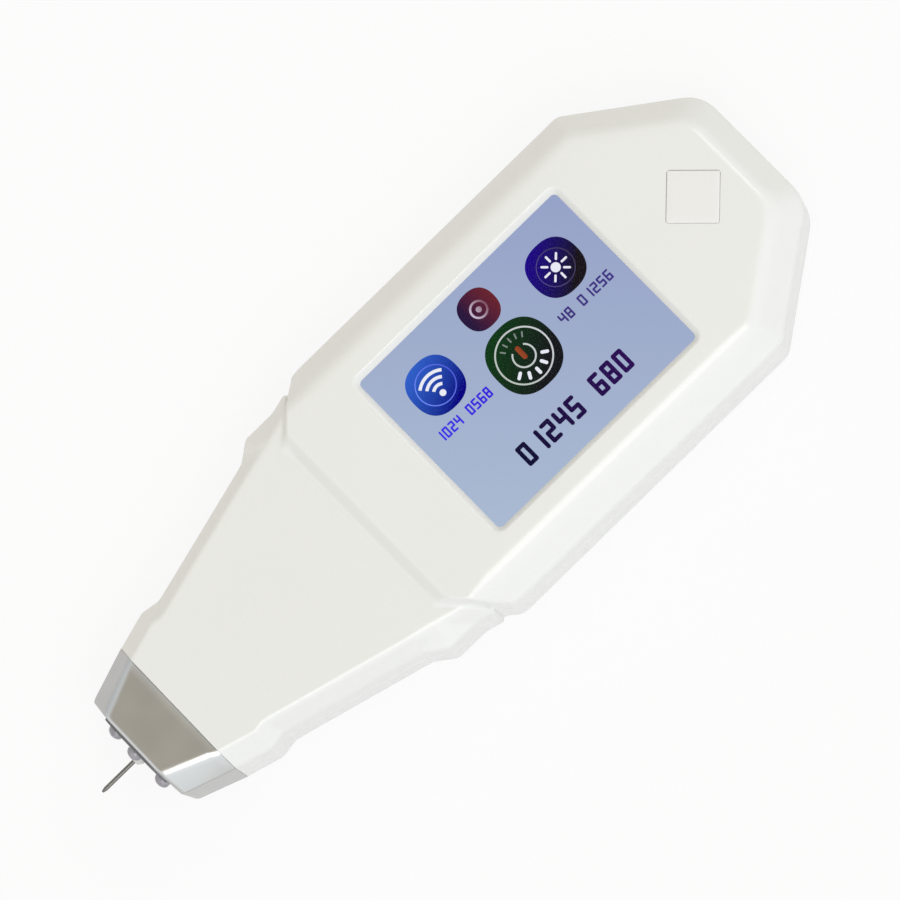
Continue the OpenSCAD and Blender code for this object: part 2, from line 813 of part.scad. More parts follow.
// Coil spring behind the carrier: one tube swept along a helix
ring_steps = 8;
tube_sides = 6;
spring_end_gap = 0.02;
spring_rings = spring_turns * ring_steps;
spring_run = spring_l - wire_d - 2 * spring_end_gap;
function coil_point(i) =
    [x_spring + wire_d / 2 + spring_end_gap + spring_run * i / spring_rings,
        coil_r * cos(360 * i / ring_steps), probe_z + coil_r * sin(360 * i / ring_steps)];
function coil_ring(i) =
    let (out = [0, cos(360 * i / ring_steps), sin(360 * i / ring_steps)])
    let (along = unit(coil_point(i + 1) - coil_point(i - 1)))
    let (side = cross(along, out))
    [for (k = [0 : tube_sides - 1])
        coil_point(i) + wire_d / 2 * (cos(360 * k / tube_sides) * out + sin(360 * k / tube_sides) * side)];
coil_points = [for (i = [0 : spring_rings]) each coil_ring(i)];
coil_faces = concat(
    [for (i = [0 : spring_rings - 1]) for (k = [0 : tube_sides - 1])
        let (a = i * tube_sides + k)
        let (b = i * tube_sides + (k + 1) % tube_sides)
        each [[a, b, b + tube_sides], [a, b + tube_sides, a + tube_sides]]],
    [for (k = [1 : tube_sides - 2]) [0, k + 1, k]],
    [for (k = [1 : tube_sides - 2]) [0, k, k + 1] + spring_rings * tube_sides * [1, 1, 1]]);
spring_gap = min([for (i = [0 : spring_rings]) for (j = [i + ring_steps / 2 : 1 : spring_rings])
    norm(coil_point(i) - coil_point(j))]) - wire_d;
module probe_spring() {
    echo(least_gap_between_spring_turns = spring_gap);
    color("gainsboro")
        polyhedron(coil_points, coil_faces);
}

// Bush that guides the needle through the nose, with a cone in front and a flange behind the front wall
bush_tip_d = needle_d + 0.9;
bush_flange_d = bush_d + 0.8;
cone_l = 2.2;
module probe_bush() {
    color("lightgray")
        difference() {
            union() {
                bar_x(x_front - bush_out + cone_l, 0, probe_z, nose_wall + bush_out - cone_l, bush_d);
                translate([x_front - bush_out, 0, probe_z])
                    rotate([0, 90, 0])
                        cylinder(h = cone_l, d1 = bush_tip_d, d2 = bush_d);
                bar_x(x_front_wall, 0, probe_z, lamp_flange_t, bush_flange_d);
            }
            bar_x(x_front - past, 0, probe_z, 3 * past, needle_d + 2 * slide_fit);
        }
}

// Barrel in which the carrier slides, with a flange against the holder
barrel_flange_d = barrel_d + 2.4;
module probe_barrel() {
    color("burlywood")
        difference() {
            union() {
                bar_x(x_holder, 0, probe_z, x_cap + cap_in - x_holder, barrel_d);
                bar_x(x_holder + holder_l, 0, probe_z, barrel_flange_t, barrel_flange_d);
            }
            bar_x(x_carrier, 0, probe_z, total_l, carrier_d + 2 * slide_fit);
            bar_x(x_holder - past, 0, probe_z, total_l, needle_room_d);
        }
}

// Cap that closes the barrel behind the spring
module barrel_cap() {
    color("burlywood") {
        bar_x(x_cap, 0, probe_z, cap_in + cap_rim_t / 2, carrier_d);
        bar_x(x_cap + cap_in, 0, probe_z, cap_rim_t, barrel_d);
    }
}

// Block in the nose that holds the barrel and presses on the lamp board
flex_w = 5;
flex_t = 0.3;
flex_room = 0.4;
flex_z = tunnel_low + flex_room;
holder_half = tunnel_half - loose_fit;
holder_top = tunnel_high - loose_fit;
module probe_holder() {
    color("darkslategray")
        difference() {
            translate([x_holder, -holder_half, tunnel_low])
                cube([holder_l, 2 * holder_half, holder_top - tunnel_low]);
            bar_x(x_holder - past, 0, probe_z, holder_l + 2 * past, barrel_d + 2 * slide_fit);
            translate([x_holder - past, -flex_w / 2 - flex_room, tunnel_low - past])
                cube([holder_l + 2 * past, flex_w + 2 * flex_room, past + 2 * flex_room + flex_t]);
            upright_holes(nose_spots, tunnel_low - hole_spare, nose_seat_z + nose_grip + hole_spare, pilot_d);
        }
}

// A flat cable in the middle of the tester: along from a station, then up to the main board's underside
module flex(x, z, rise) {
    color("darkgoldenrod")
        translate([0, flex_w / 2, 0])
            rotate([90, 0, 0])
                linear_extrude(flex_w)
                    polygon([[x, z], [rise, z], [rise, board_z], [rise - flex_t, board_z],
                        [rise - flex_t, z + flex_t], [x, z + flex_t]]);
}

// Cable from the back of the barrel to the main board
flex_pitch = 3;
module probe_ribbon() {
    flex(x_cap + cap_in + cap_rim_t, probe_z, board_front + flex_pitch);
}

// Cable from the lamp board to the main board, which it meets behind the other one
module led_ribbon() {
    flex(x_holder, flex_z, board_front + 2 * flex_pitch);
}

// One lamp: round body with a domed front and a flange behind the nose's front wall
module lamp(y, z) {
    bar_x(x_front - lamp_out + lamp_d / 2, y, z, nose_wall + lamp_out - lamp_d / 2, lamp_d);
    translate([x_front - lamp_out + lamp_d / 2, y, z])
        sphere(d = lamp_d);
    bar_x(x_front_wall, y, z, lamp_flange_t, lamp_flange_d);
}

// Two side lamps
module uv_leds() {
    color("thistle")
        for (y = [-lamp_side, lamp_side])
            lamp(y, probe_z);
}

// Upper lamp
module test_lamp() {
    color("aliceblue")
        lamp(0, probe_z + lamp_up);
}

// Small board that carries the lamps
module led_board() {
    color("darkgreen")
        difference() {
            translate([x_led_board, -holder_half, tunnel_low])
                cube([led_board_t, 2 * holder_half, holder_top - tunnel_low]);
            bar_x(x_led_board - past, 0, probe_z, led_board_t + 2 * past, needle_room_d);
        }
}

// A screw with its head below its seat, its shank upward, and a cross in the head
cross_w = 0.6;
cross_l = screw_head_d * 2 / 3;
module screw(seat_z, length) {
    difference() {
        union() {
            translate([0, 0, seat_z - screw_head_h])
                cylinder(h = screw_head_h, d = screw_head_d);
            translate([0, 0, seat_z - film])
                cylinder(h = length + film, d = screw_d);
        }
        for (turn = [0, 90])
            rotate(turn)
                translate([-cross_l / 2, -cross_w / 2, seat_z - screw_head_h - past])
                    cube([cross_l, cross_w, past + screw_head_h / 2]);
    }
}

// Screws that hold the two shells together, up from the underside
module case_screws() {
    color("silver")
        for (p = case_spots)
            translate([p.x, p.y, 0])
                screw(case_seat_z, parting_z - case_seat_z + case_grip);
}

// Screws that hold the main board on its pillars, heads up
module board_screws() {
    color("silver")
        for (p = board_spots)
            translate([p.x, p.y, board_top])
                mirror([0, 0, 1])
                    screw(0, board_t + case_grip);
}

// Screws that hold the nose and the probe's holder, up from the underside
module nose_screws() {
    color("silver")
        for (p = nose_spots)
            translate([p.x, p.y, 0])
                screw(nose_seat_z, nose_grip);
}

top_shell();
bottom_shell();
nose_cap();
screen_gasket();
touch_glass();
lcd_panel();
lcd_frame();
lcd_ribbon();
power_key();
switch_plunger();
tact_switch();
main_board();
board_chips();
radio_module();
buzzer();
usb_socket();
battery();
battery_pad();
probe_needle();
probe_carrier();
probe_heater();
probe_spring();
probe_bush();
probe_barrel();
barrel_cap();
probe_holder();
probe_ribbon();
uv_leds();
test_lamp();
led_board();
led_ribbon();
case_screws();
board_screws();
nose_screws();
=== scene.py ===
import math

import bmesh
import bpy
import numpy as np
from mathutils import Matrix, Vector


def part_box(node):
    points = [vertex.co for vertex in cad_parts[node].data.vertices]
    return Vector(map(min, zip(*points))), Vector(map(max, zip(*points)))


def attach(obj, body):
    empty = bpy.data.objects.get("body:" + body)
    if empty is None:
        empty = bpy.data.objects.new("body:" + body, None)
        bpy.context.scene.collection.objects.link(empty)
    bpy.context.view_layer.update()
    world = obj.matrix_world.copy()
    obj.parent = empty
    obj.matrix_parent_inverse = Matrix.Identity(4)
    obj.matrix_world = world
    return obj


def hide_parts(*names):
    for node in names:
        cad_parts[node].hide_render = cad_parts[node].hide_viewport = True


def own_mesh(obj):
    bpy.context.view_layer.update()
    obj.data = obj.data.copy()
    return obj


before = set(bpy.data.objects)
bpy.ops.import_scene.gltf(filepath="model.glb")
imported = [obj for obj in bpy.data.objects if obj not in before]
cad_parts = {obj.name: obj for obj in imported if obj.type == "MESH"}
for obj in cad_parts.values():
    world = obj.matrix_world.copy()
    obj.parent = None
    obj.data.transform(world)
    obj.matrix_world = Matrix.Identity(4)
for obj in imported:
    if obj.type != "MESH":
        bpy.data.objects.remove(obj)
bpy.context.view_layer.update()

scene = bpy.context.scene

# Upper half of the casing: one injection-moulded shell of glossy off-white ABS, 2 mm thick, that carries
# the screen's window and the key's opening. It is held to the lower half by four screws from below.
# Its form is the CAD's: head, shoulder, grip and collar as blocks with bevelled tops. Sizes in mm.
X_JOINT, X_COLLAR, X_GRIP_FRONT, X_GRIP_BACK = -61.5, -54.5, -50.7, -23.3
X_SHOULDER, X_SHOULDER_BACK, X_HEAD, X_TAPER, X_END = -19.5, -8.7, -5.6, 60.8, 82.0
JOINT_Y, COLLAR_Y, GRIP_FRONT_Y, GRIP_BACK_Y = 15.2, 17.2, 16.6, 23.9
SHOULDER_Y, HEAD_Y, END_Y = 26.7, 29.2, 13.5
HEAD_Z, GRIP_Z, WALL_HIGH_Z, WALL_LOW_Z, PARTING_Z = 23.0, 21.0, 17.0, 4.0, 11.0
HEAD_BEVEL, NOTCH_BEVEL, SHOULDER_BEVEL, GRIP_BEVEL, COLLAR_BEVEL, BASE_BEVEL = 5.2, 0.8, 4.2, 2.7, 3.5, 3.2
X_HEAD_FRONT, X_HEAD_TOP, FRONT_RUN, NOTCH_EASE = -20.6, -13.1, 7.5, 2.8
NOTCH_EASE_X = [X_HEAD_TOP - 2.0, X_SHOULDER_BACK - 1.0]
HEAD_ROUND, END_ROUND, SHOULDER_ROUND, COLLAR_ROUND, BURIED_ROUND, NOTCH_FILLET = 0.6, 3.0, 0.3, 0.2, 1.0, 1.2
NOTCH_EDGE, FRONT_EDGE, BASE_EDGE = 0.8, 1.2, 0.7
LOW_EDGE_X, LOW_EDGE = [X_COLLAR, X_GRIP_FRONT, X_GRIP_BACK, X_SHOULDER], [0.5, 1.0, 1.0, 1.4]
STEP_FILLET_Y, STEP_FILLET = [17.0, 22.0], [0.5, 2.0]
SHOULDER_RUN = 12.0
WALL_T = 2.0
EDGE_IN, EDGE_DROP = 0.4, 0.5
X_STRAIGHT, X_FAN = 30.0, 52.0
HIGH_EDGE_X, HIGH_EDGE = [X_HEAD_TOP, X_HEAD, X_FAN, X_TAPER], [0.6, 2.2, 2.2, 1.7]
ROW_STATIONS = [X_JOINT, X_COLLAR, X_GRIP_FRONT, X_GRIP_BACK, X_SHOULDER, X_SHOULDER_BACK, X_HEAD, X_STRAIGHT]
ROWS_BETWEEN = [13, 10, 20, 10, 64, 26, 24]
FAN_EASE = 1.6


def soft_min(a, b, k):
    """The smaller of two values, less a parabola that rounds the crossing where they differ by less than k."""
    h = np.maximum(k - np.abs(a - b), 0) / k
    return np.minimum(a, b) - h * h * k / 4


def soft_max(a, b, k):
    """The larger of two values, with the same rounding filled in."""
    return -soft_min(-a, -b, k)


def edge(x, a, p, q):
    """Distance inwards from the straight plan edge p-q, where a is the distance from the middle line."""
    along = np.subtract(q, p) / np.hypot(*np.subtract(q, p))
    return (x - p[0]) * along[1] - (a - p[1]) * along[0]


def casing_blocks(x, y):
    """Distances inwards from the outlines of the head, the notch before it, the shoulder, the grip and the
    collar: for each the soft minimum of the distances from its edges."""
    a = np.abs(y)
    head = soft_min(HEAD_Y - a, edge(x, a, (X_TAPER, HEAD_Y), (X_END, END_Y)), HEAD_ROUND)
    head = soft_min(head, X_END - x, END_ROUND)
    notch = edge(x, a, (X_SHOULDER_BACK, SHOULDER_Y), (X_HEAD, HEAD_Y))
    shoulder = edge(x, a, (X_GRIP_BACK, GRIP_BACK_Y), (X_SHOULDER, SHOULDER_Y))
    shoulder = soft_min(SHOULDER_Y - a, shoulder, SHOULDER_ROUND)
    shoulder = soft_min(shoulder, X_HEAD + SHOULDER_RUN - x, BURIED_ROUND)
    grip = edge(x, a, (X_GRIP_FRONT, GRIP_FRONT_Y), (X_GRIP_BACK, GRIP_BACK_Y))
    grip = soft_min(grip, X_SHOULDER_BACK - x, BURIED_ROUND)
    collar = soft_min(edge(x, a, (X_JOINT, JOINT_Y), (X_COLLAR, COLLAR_Y)),
                      edge(x, a, (X_COLLAR, COLLAR_Y), (X_GRIP_FRONT, GRIP_FRONT_Y)), COLLAR_ROUND)
    return head, notch, shoulder, grip, collar


def casing_inside(x, y):
    """Distance inwards from the casing's outline: the soft maximum over the blocks."""
    head, notch, shoulder, grip, collar = casing_blocks(x, y)
    back = soft_max(soft_min(head, notch, HEAD_ROUND), shoulder, NOTCH_FILLET)
    return soft_max(back, soft_max(grip, collar, COLLAR_ROUND), COLLAR_ROUND)


def casing_top(x, y):
    """Height of the upper surface: the low blocks rise from the wall along their bevels to one flat top, the
    head rises along its own bevels, the steep notch and its front slope to a higher top, and the two join by
    soft maximum."""
    head, notch, shoulder, grip, collar = casing_blocks(x, y)
    rise, low_rise = HEAD_Z - WALL_HIGH_Z, GRIP_Z - WALL_HIGH_Z
    low = soft_max(low_rise / SHOULDER_BEVEL * shoulder, low_rise / GRIP_BEVEL * grip, SHOULDER_ROUND)
    low = soft_max(low, low_rise / COLLAR_BEVEL * collar, SHOULDER_ROUND)
    low = soft_min(low, low_rise, np.interp(x, LOW_EDGE_X, LOW_EDGE))
    run = np.interp(x, NOTCH_EASE_X, [NOTCH_EASE, NOTCH_BEVEL])
    high = soft_min(rise / HEAD_BEVEL * head, rise / run * (notch + (run - NOTCH_BEVEL) / 2), NOTCH_EDGE)
    high = soft_min(high, rise / FRONT_RUN * (x - X_HEAD_FRONT), FRONT_EDGE)
    high = soft_min(high, rise, np.interp(x, HIGH_EDGE_X, HIGH_EDGE))
    return WALL_HIGH_Z + soft_max(high, low, np.interp(np.abs(y), STEP_FILLET_Y, STEP_FILLET))


def casing_base(x, y):
    """Height of the underside: flat, with a bevel that meets the wall."""
    return soft_max(0.0, WALL_LOW_Z * (1 - casing_inside(x, y) / BASE_BEVEL), BASE_EDGE)


def reach(x, y, dx, dy, level):
    """How far along the directions (dx, dy) from the points (x, y) the outline drawn in by level lies, by
    halving an interval of 60 mm until it is finer than any measure here."""
    near, far = np.zeros_like(x + dx), np.full_like(x + dx, 60.0)
    for _ in range(40):
        middle = (near + far) / 2
        inside = casing_inside(x + middle * dx, y + middle * dy) > level
        near, far = np.where(inside, middle, near), np.where(inside, far, middle)
    return near


def plan_grid(fan_rows, columns):
    """Points over the casing's plan: straight rows across the tester, through its stations, up to X_STRAIGHT,
    then rows that blend into the contour of the head end, found along rays from the middle of the head and
    stepped off evenly. The rows lie closer together towards the end."""
    v = np.sin(np.linspace(-math.pi / 2, math.pi / 2, columns))
    x = np.interp(np.arange(sum(ROWS_BETWEEN) + 1), np.cumsum([0] + ROWS_BETWEEN), ROW_STATIONS)
    y = reach(x, 0 * x, 0 * x, 1 + 0 * x, EDGE_IN)
    straight = np.stack([np.repeat(x[:, None], columns, 1), y[:, None] * v], -1)
    angle = np.linspace(-math.pi / 2, math.pi / 2, 4001)
    ray = np.stack([np.cos(angle), np.sin(angle)], -1)
    start = np.array([X_FAN, 0.0])
    contour = start + ray * reach(start[0] + 0 * angle, 0 * angle, ray[:, 0], ray[:, 1], EDGE_IN)[:, None]
    length = np.concatenate([[0], np.cumsum(np.hypot(*np.diff(contour, axis=0).T))])
    even = np.linspace(0, length[-1], columns)
    end = np.stack([np.interp(even, length, contour[:, 0]), np.interp(even, length, contour[:, 1])], -1)
    w = 1 - (1 - np.linspace(0, 1, fan_rows)[1:, None, None]) ** FAN_EASE
    return np.concatenate([straight, straight[-1] * (1 - w) + end * w])


def grid_faces(rows, columns, closed=False):
    """Corner numbers of a grid's four-sided faces, row by row; closed joins the last column to the first."""
    r, c = np.meshgrid(np.arange(rows - 1), np.arange(columns if closed else columns - 1), indexing="ij")
    n = (c + 1) % columns
    corners = [r * columns + c, r * columns + n, (r + 1) * columns + n, (r + 1) * columns + c]
    return np.stack(corners, -1).reshape(-1, 4)


def casing_sheet(height, rim, fan_rows, columns):
    """A casing half as one sheet: the plan grid at the height function's level, and a skirt that goes out from
    the grid's edge, across the tester or straight away from the head end, to the outline and follows the rim's
    (distance drawn in, height) pairs, starting with the curve round the wall's edge."""
    plan = plan_grid(fan_rows, columns)
    r, c = plan.shape[:2]
    number = np.arange(r * c).reshape(r, c)
    border = np.concatenate([number[:, 0], number[-1, 1:], number[-2::-1, -1]])
    flat = plan.reshape(-1, 2)
    points = [np.column_stack([flat, height(flat[:, 0], flat[:, 1])])]
    bx, by = flat[border].T
    step = 0.01
    out = -np.stack([casing_inside(bx + step, by) - casing_inside(bx - step, by),
                     casing_inside(bx, by + step) - casing_inside(bx, by - step)], -1)
    out /= np.hypot(*out.T)[:, None]
    out = np.where((bx <= X_STRAIGHT)[:, None], np.stack([0 * by, np.sign(by)], -1), out)
    out *= reach(bx, by, out[:, 0], out[:, 1], 0.0)[:, None]
    first = points[0][border, 2]
    wall = rim[0][1]
    turn = [(EDGE_IN * (1 - t) ** 2, first * (1 - t) ** 2 + 2 * t * (1 - t) * wall[0] + t * t * wall[1])
            for t in (0.2, 0.4, 0.6, 0.8, 1.0)]
    levels = turn + [(d, z + 0 * first) for d, z in rim[1:]]
    points += [np.column_stack([flat[border] + out * (1 - d / EDGE_IN), z]) for d, z in levels]
    rings = np.concatenate([border, r * c + np.arange(len(levels) * len(border))]).reshape(-1, len(border))
    skirt = rings.ravel()[grid_faces(len(rings), len(border))]
    return np.concatenate(points), np.concatenate([grid_faces(r, c), skirt])


def mesh_object(name, points, faces):
    """A mesh object from points in mm and faces, with doubled points merged and its faces turned outwards."""
    mesh = bpy.data.meshes.new(name)
    mesh.from_pydata((np.asarray(points) * 0.001).tolist(), [], np.asarray(faces).tolist())
    form = bmesh.new()
    form.from_mesh(mesh)
    bmesh.ops.remove_doubles(form, verts=form.verts, dist=1e-8)
    bmesh.ops.recalc_face_normals(form, faces=form.faces)
    form.to_mesh(mesh)
    form.free()
    item = bpy.data.objects.new(name, mesh)
    scene.collection.objects.link(item)
    return item


def modified(item, kind, **settings):
    """Adds a modifier, applies it and returns the object."""
    modifier = item.modifiers.new(kind.lower(), kind)
    for key, value in settings.items():
        setattr(modifier, key, value)
    old = item.data
    graph = bpy.context.evaluated_depsgraph_get()
    item.data = bpy.data.meshes.new_from_object(item.evaluated_get(graph))
    item.data.name = item.name
    item.modifiers.clear()
    bpy.data.meshes.remove(old)
    return item


def cut(item, *cutters):
    """Takes the cutters out of an object and removes them."""
    for cutter in cutters:
        modified(item, "BOOLEAN", object=cutter, operation="DIFFERENCE", solver="MANIFOLD")
        bpy.data.objects.remove(cutter)
    return item


def place(item, body, slot, finish, *nodes, sharp=35):
    """Gives a finished piece its material and smooth shading, and puts it on its body in place of its nodes."""
    item.data.materials.clear()
    item.data.materials.append(finish)
    item.data.shade_smooth()
    item.data.set_sharp_from_angle(angle=math.radians(sharp))
    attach(item, body)
    if nodes:
        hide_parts(*nodes)
    return item


def round_ring(length, width, r, z, corner=10):
    """One outline of a plate with round corners at a height: four arcs joined by straight sides."""
    t = np.radians(np.linspace(0, 90, corner))
    middles = np.array([[1, 1], [-1, 1], [-1, -1], [1, -1]]) * [length / 2 - r, width / 2 - r]
    arcs = [m + r * np.stack([np.cos(t + q), np.sin(t + q)], -1)
            for m, q in zip(middles, np.radians([0, 90, 180, 270]))]
    return np.column_stack([np.concatenate(arcs), np.full(4 * corner, z)])


def lofted(name, rings):
    """A closed object through rings with equal numbers of points: capped at both ends, or with a hole through
    it where the last ring is the first one again."""
    rings = np.asarray(rings)
    n, m = rings.shape[:2]
    faces = grid_faces(n, m, closed=True).tolist()
    if not np.allclose(rings[0], rings[-1]):
        faces += [list(range(m))[::-1], list(range((n - 1) * m, n * m))]
    return mesh_object(name, rings.reshape(-1, 3), np.array(faces, dtype=object))


class Socket:
    """An output of a shader node. Sums with it make Math nodes, and make() adds any other node beside it."""

    def __init__(self, tree, out=None):
        self.tree, self.out = tree, out

    def make(self, kind, settings, inputs, output=0):
        """Adds a node of a kind with its settings, puts values or links into its inputs, gives one output."""
        node = self.tree.nodes.new(kind)
        for key, value in settings.items():
            setattr(node, key, value)
        for key, value in inputs.items():
            if isinstance(value, Socket):
                self.tree.links.new(value.out, node.inputs[key])
            else:
                node.inputs[key].default_value = value
        return Socket(self.tree, node.outputs[output])

    def math(self, operation, a, b=0.0, clamp=False):
        return self.make("ShaderNodeMath", {"operation": operation, "use_clamp": clamp}, {0: a, 1: b})

    def __add__(self, other):
        return self.math("ADD", self, other)

    __radd__ = __add__

    def __mul__(self, other):
        return self.math("MULTIPLY", self, other)

    __rmul__ = __mul__

    def __sub__(self, other):
        return self.math("SUBTRACT", self, other)

    def __rsub__(self, other):
        return self.math("SUBTRACT", other, self)

    def __truediv__(self, other):
        return self.math("DIVIDE", self, other)

    def __rtruediv__(self, other):
        return self.math("DIVIDE", other, self)

    def ramp(self, low, high):
        """0 up to low, 1 from high on, and a straight rise between them."""
        return self.math("MULTIPLY", (self - low) / (high - low), 1.0, clamp=True)

    def mix(self, a, b):
        """The colour a where this is 0 and b where it is 1."""
        return self.make("ShaderNodeMix", {"data_type": "RGBA"}, {0: self, 6: a, 7: b}, 2)

    def noise(self, scale, detail=2.0):
        """Noise at this point, with features of about 1/scale metres."""
        return self.make("ShaderNodeTexNoise", {}, {"Vector": self, "Scale": scale, "Detail": detail})

    def axis(self, name):
        """One coordinate of this point, in metres."""
        return self.make("ShaderNodeSeparateXYZ", {}, {0: self}, "XYZ".index(name))


def rgb(r, g, b):
    """A colour from 0-255 display values, in Blender's linear values."""
    c = np.array([r, g, b]) / 255
    return (*np.where(c <= 0.04045, c / 12.92, ((c + 0.055) / 1.055) ** 2.4), 1.0)


def material(name, **constants):
    """A principled material with constant inputs. Returns it with its shader and its object coordinates."""
    made = bpy.data.materials.new(name)
    made.use_nodes = True
    shader = made.node_tree.nodes["Principled BSDF"]
    for key, value in constants.items():
        shader.inputs[key.replace("_", " ")].default_value = value
    at = Socket(made.node_tree).make("ShaderNodeTexCoord", {}, {}, "Object")
    return made, shader, at


def vary(made, shader, **sources):
    """Links varying sockets to the shader's inputs of those names."""
    for key, source in sources.items():
        made.node_tree.links.new(source.out, shader.inputs[key.replace("_", " ")])


def bumped(height, strength, distance):
    """A normal raised by a height that runs from 0 to 1, over a distance in metres."""
    return height.make("ShaderNodeBump", {}, {"Strength": strength, "Distance": distance, "Height": height})


def moulded(name, pale, dark, roughness, coat=0.0, grain=2600.0):
    """Moulded plastic: a slow drift of colour, a fine spark-eroded grain and a little uneven gloss."""
    made, shader, at = material(name, Coat_Weight=coat, Coat_Roughness=0.09)
    drift = at.noise(18, 3.0)
    fine = at.noise(grain, 2.0)
    vary(made, shader, Base_Color=(drift * 0.7 + fine * 0.3).ramp(0.3, 0.7).mix(dark, pale),
         Roughness=(drift * 0.6 + fine * 0.4) * 0.16 + (roughness - 0.08), Normal=bumped(fine, 0.08, 0.00002))
    return made


casing_plastic = moulded("casing_plastic", rgb(236, 237, 233), rgb(231, 232, 228), 0.34, 0.5)
SEAM, WALL_ROW = 0.12, 3.0
top_shell = mesh_object("casing_top", *casing_sheet(casing_top, [
    (0.0, (WALL_HIGH_Z, WALL_HIGH_Z - EDGE_DROP)), (0.0, PARTING_Z + WALL_ROW), (0.0, PARTING_Z + SEAM),
    (SEAM, PARTING_Z)], fan_rows=64, columns=181))
modified(top_shell, "SOLIDIFY", thickness=WALL_T * 0.001, offset=-1.0)

WINDOW_X, WINDOW_L, WINDOW_W, WINDOW_SLOPE, WINDOW_R, RIM_Z = 26.3, 48.9, 36.9, 1.0, 1.0, 21.8
GLASS_L, GLASS_W, POCKET_FIT, POCKET_DEPTH, LAP = 55.0, 41.6, 0.2, 5, 0.02
KEY_X, KEY_SIDE, KEY_R, KEY_GAP, KEY_CHAMFER = 67.7, 9.4, 0.4, 0.15, 0.05
SOCKET_Z, SOCKET_W, SOCKET_H, SOCKET_R, SOCKET_GAP, SOCKET_CHAMFER = 13.37, 8.94, 3.26, 1.1, 0.25, 0.25
CUT_IN, CUT_OVER = 6, 2
TURN_45 = np.array([[1, 1, 0], [-1, 1, 0], [0, 0, math.sqrt(2)]]) / math.sqrt(2)
ACROSS = np.array([[0, 1, 0], [0, 0, 1], [1, 0, 0]])
window = lofted("cut_window", [
    round_ring(WINDOW_L + 2 * s, WINDOW_W + 2 * s, WINDOW_R + s, z) + [WINDOW_X, 0, 0]
    for s, z in ((0, RIM_Z - 0.3), (0, RIM_Z), (WINDOW_SLOPE * 0.93, HEAD_Z - 0.1),
                 (WINDOW_SLOPE + 0.15, HEAD_Z), (WINDOW_SLOPE + 0.15, HEAD_Z + CUT_OVER))])
pocket = lofted("cut_pocket", [
    round_ring(GLASS_L + 2 * POCKET_FIT, GLASS_W + 2 * POCKET_FIT, WINDOW_R, z) + [WINDOW_X, 0, 0]
    for z in (HEAD_Z - POCKET_DEPTH, RIM_Z - LAP)])
key_hole = lofted("cut_key", [
    round_ring(KEY_SIDE + 2 * (KEY_GAP + s), KEY_SIDE + 2 * (KEY_GAP + s), KEY_R + KEY_GAP, z) @ TURN_45
    + [KEY_X, 0, 0] for s, z in ((0, HEAD_Z - CUT_IN), (0, HEAD_Z - KEY_CHAMFER), (KEY_CHAMFER, HEAD_Z),
                                 (KEY_CHAMFER, HEAD_Z + CUT_OVER))])
slot_hole = lofted("cut_slot", [
    round_ring(SOCKET_W + 2 * (SOCKET_GAP + s), SOCKET_H + 2 * (SOCKET_GAP + s), SOCKET_R + s, x) @ ACROSS
    + [0, 0, SOCKET_Z] for s, x in ((0, X_END - CUT_IN), (0, X_END - SOCKET_CHAMFER), (SOCKET_CHAMFER, X_END),
                                    (SOCKET_CHAMFER, X_END + CUT_OVER))])
cut(top_shell, window, pocket, key_hole, slot_hole)
place(top_shell, "casing", "casing", casing_plastic, "top_shell")

# Lower half of the casing: the same plastic, with a flat underside and four wells for the case screws.
# The fine groove between the halves is the parting line. Its towers stand on the floor inside.
CASE_SPOTS = [(-16.1, 18.1), (-16.1, -18.1), (69.2, 15.2), (69.2, -15.2)]
NOSE_SPOTS = [(-58.5, 7.0), (-58.5, -7.0)]
WELL_D, HOLE_D, TOWER_D, WELL_TOP, NOSE_WELL_TOP = 4.2, 2.4, 7.8, 6.0, 1.1
WELL_CHAMFER, SEAT_CHAMFER, WELL_LOW, WELL_HIGH = 0.3, 0.2, -1, 5


def lathe(name, profile, middle, axis="X", sides=48):
    """A turned piece: a profile of (distance along, radius) pairs swept round the axis through the middle."""
    profile = np.asarray(profile, float)
    t = np.linspace(0, 2 * math.pi, sides, endpoint=False)
    along = np.repeat(profile[:, :1], sides, 1)
    u, w = profile[:, 1:] * np.cos(t), profile[:, 1:] * np.sin(t)
    order = (along, u, w) if axis == "X" else (u, w, along)
    return lofted(name, np.stack(order, -1) + middle)


bottom_shell = mesh_object("casing_base", *casing_sheet(casing_base, [
    (0.0, (WALL_LOW_Z, WALL_LOW_Z + EDGE_DROP)), (0.0, PARTING_Z - WALL_ROW), (0.0, PARTING_Z - SEAM),
    (SEAM, PARTING_Z)], fan_rows=56, columns=101))
modified(bottom_shell, "SOLIDIFY", thickness=WALL_T * 0.001, offset=-1.0)
cut(bottom_shell, *[lathe("cut_well", [
    (WELL_LOW, WELL_D / 2 + WELL_CHAMFER), (0, WELL_D / 2 + WELL_CHAMFER), (WELL_CHAMFER, WELL_D / 2),
    (WELL_HIGH, WELL_D / 2)], (x, y, 0), "Z") for x, y in CASE_SPOTS])
cut(bottom_shell, *[lathe("cut_seat", [
    (WELL_LOW, WELL_D / 2 + SEAT_CHAMFER), (0, WELL_D / 2 + SEAT_CHAMFER), (SEAT_CHAMFER, WELL_D / 2),
    (NOSE_WELL_TOP, WELL_D / 2), (NOSE_WELL_TOP, HOLE_D / 2), (WELL_HIGH, HOLE_D / 2)], (x, y, 0), "Z")
    for x, y in NOSE_SPOTS])
place(bottom_shell, "casing", "casing", casing_plastic, "bottom_shell")
for number, (x, y) in enumerate(CASE_SPOTS):
    tower = lathe("casing_tower_%d" % number, [
        (WALL_T / 2, WELL_D / 2), (WALL_T / 2, TOWER_D / 2), (PARTING_Z, TOWER_D / 2), (PARTING_Z, HOLE_D / 2),
        (WELL_TOP, HOLE_D / 2), (WELL_TOP, WELL_D / 2), (WALL_T / 2, WELL_D / 2)], (x, y, 0), "Z")
    place(tower, "casing", "casing", casing_plastic)

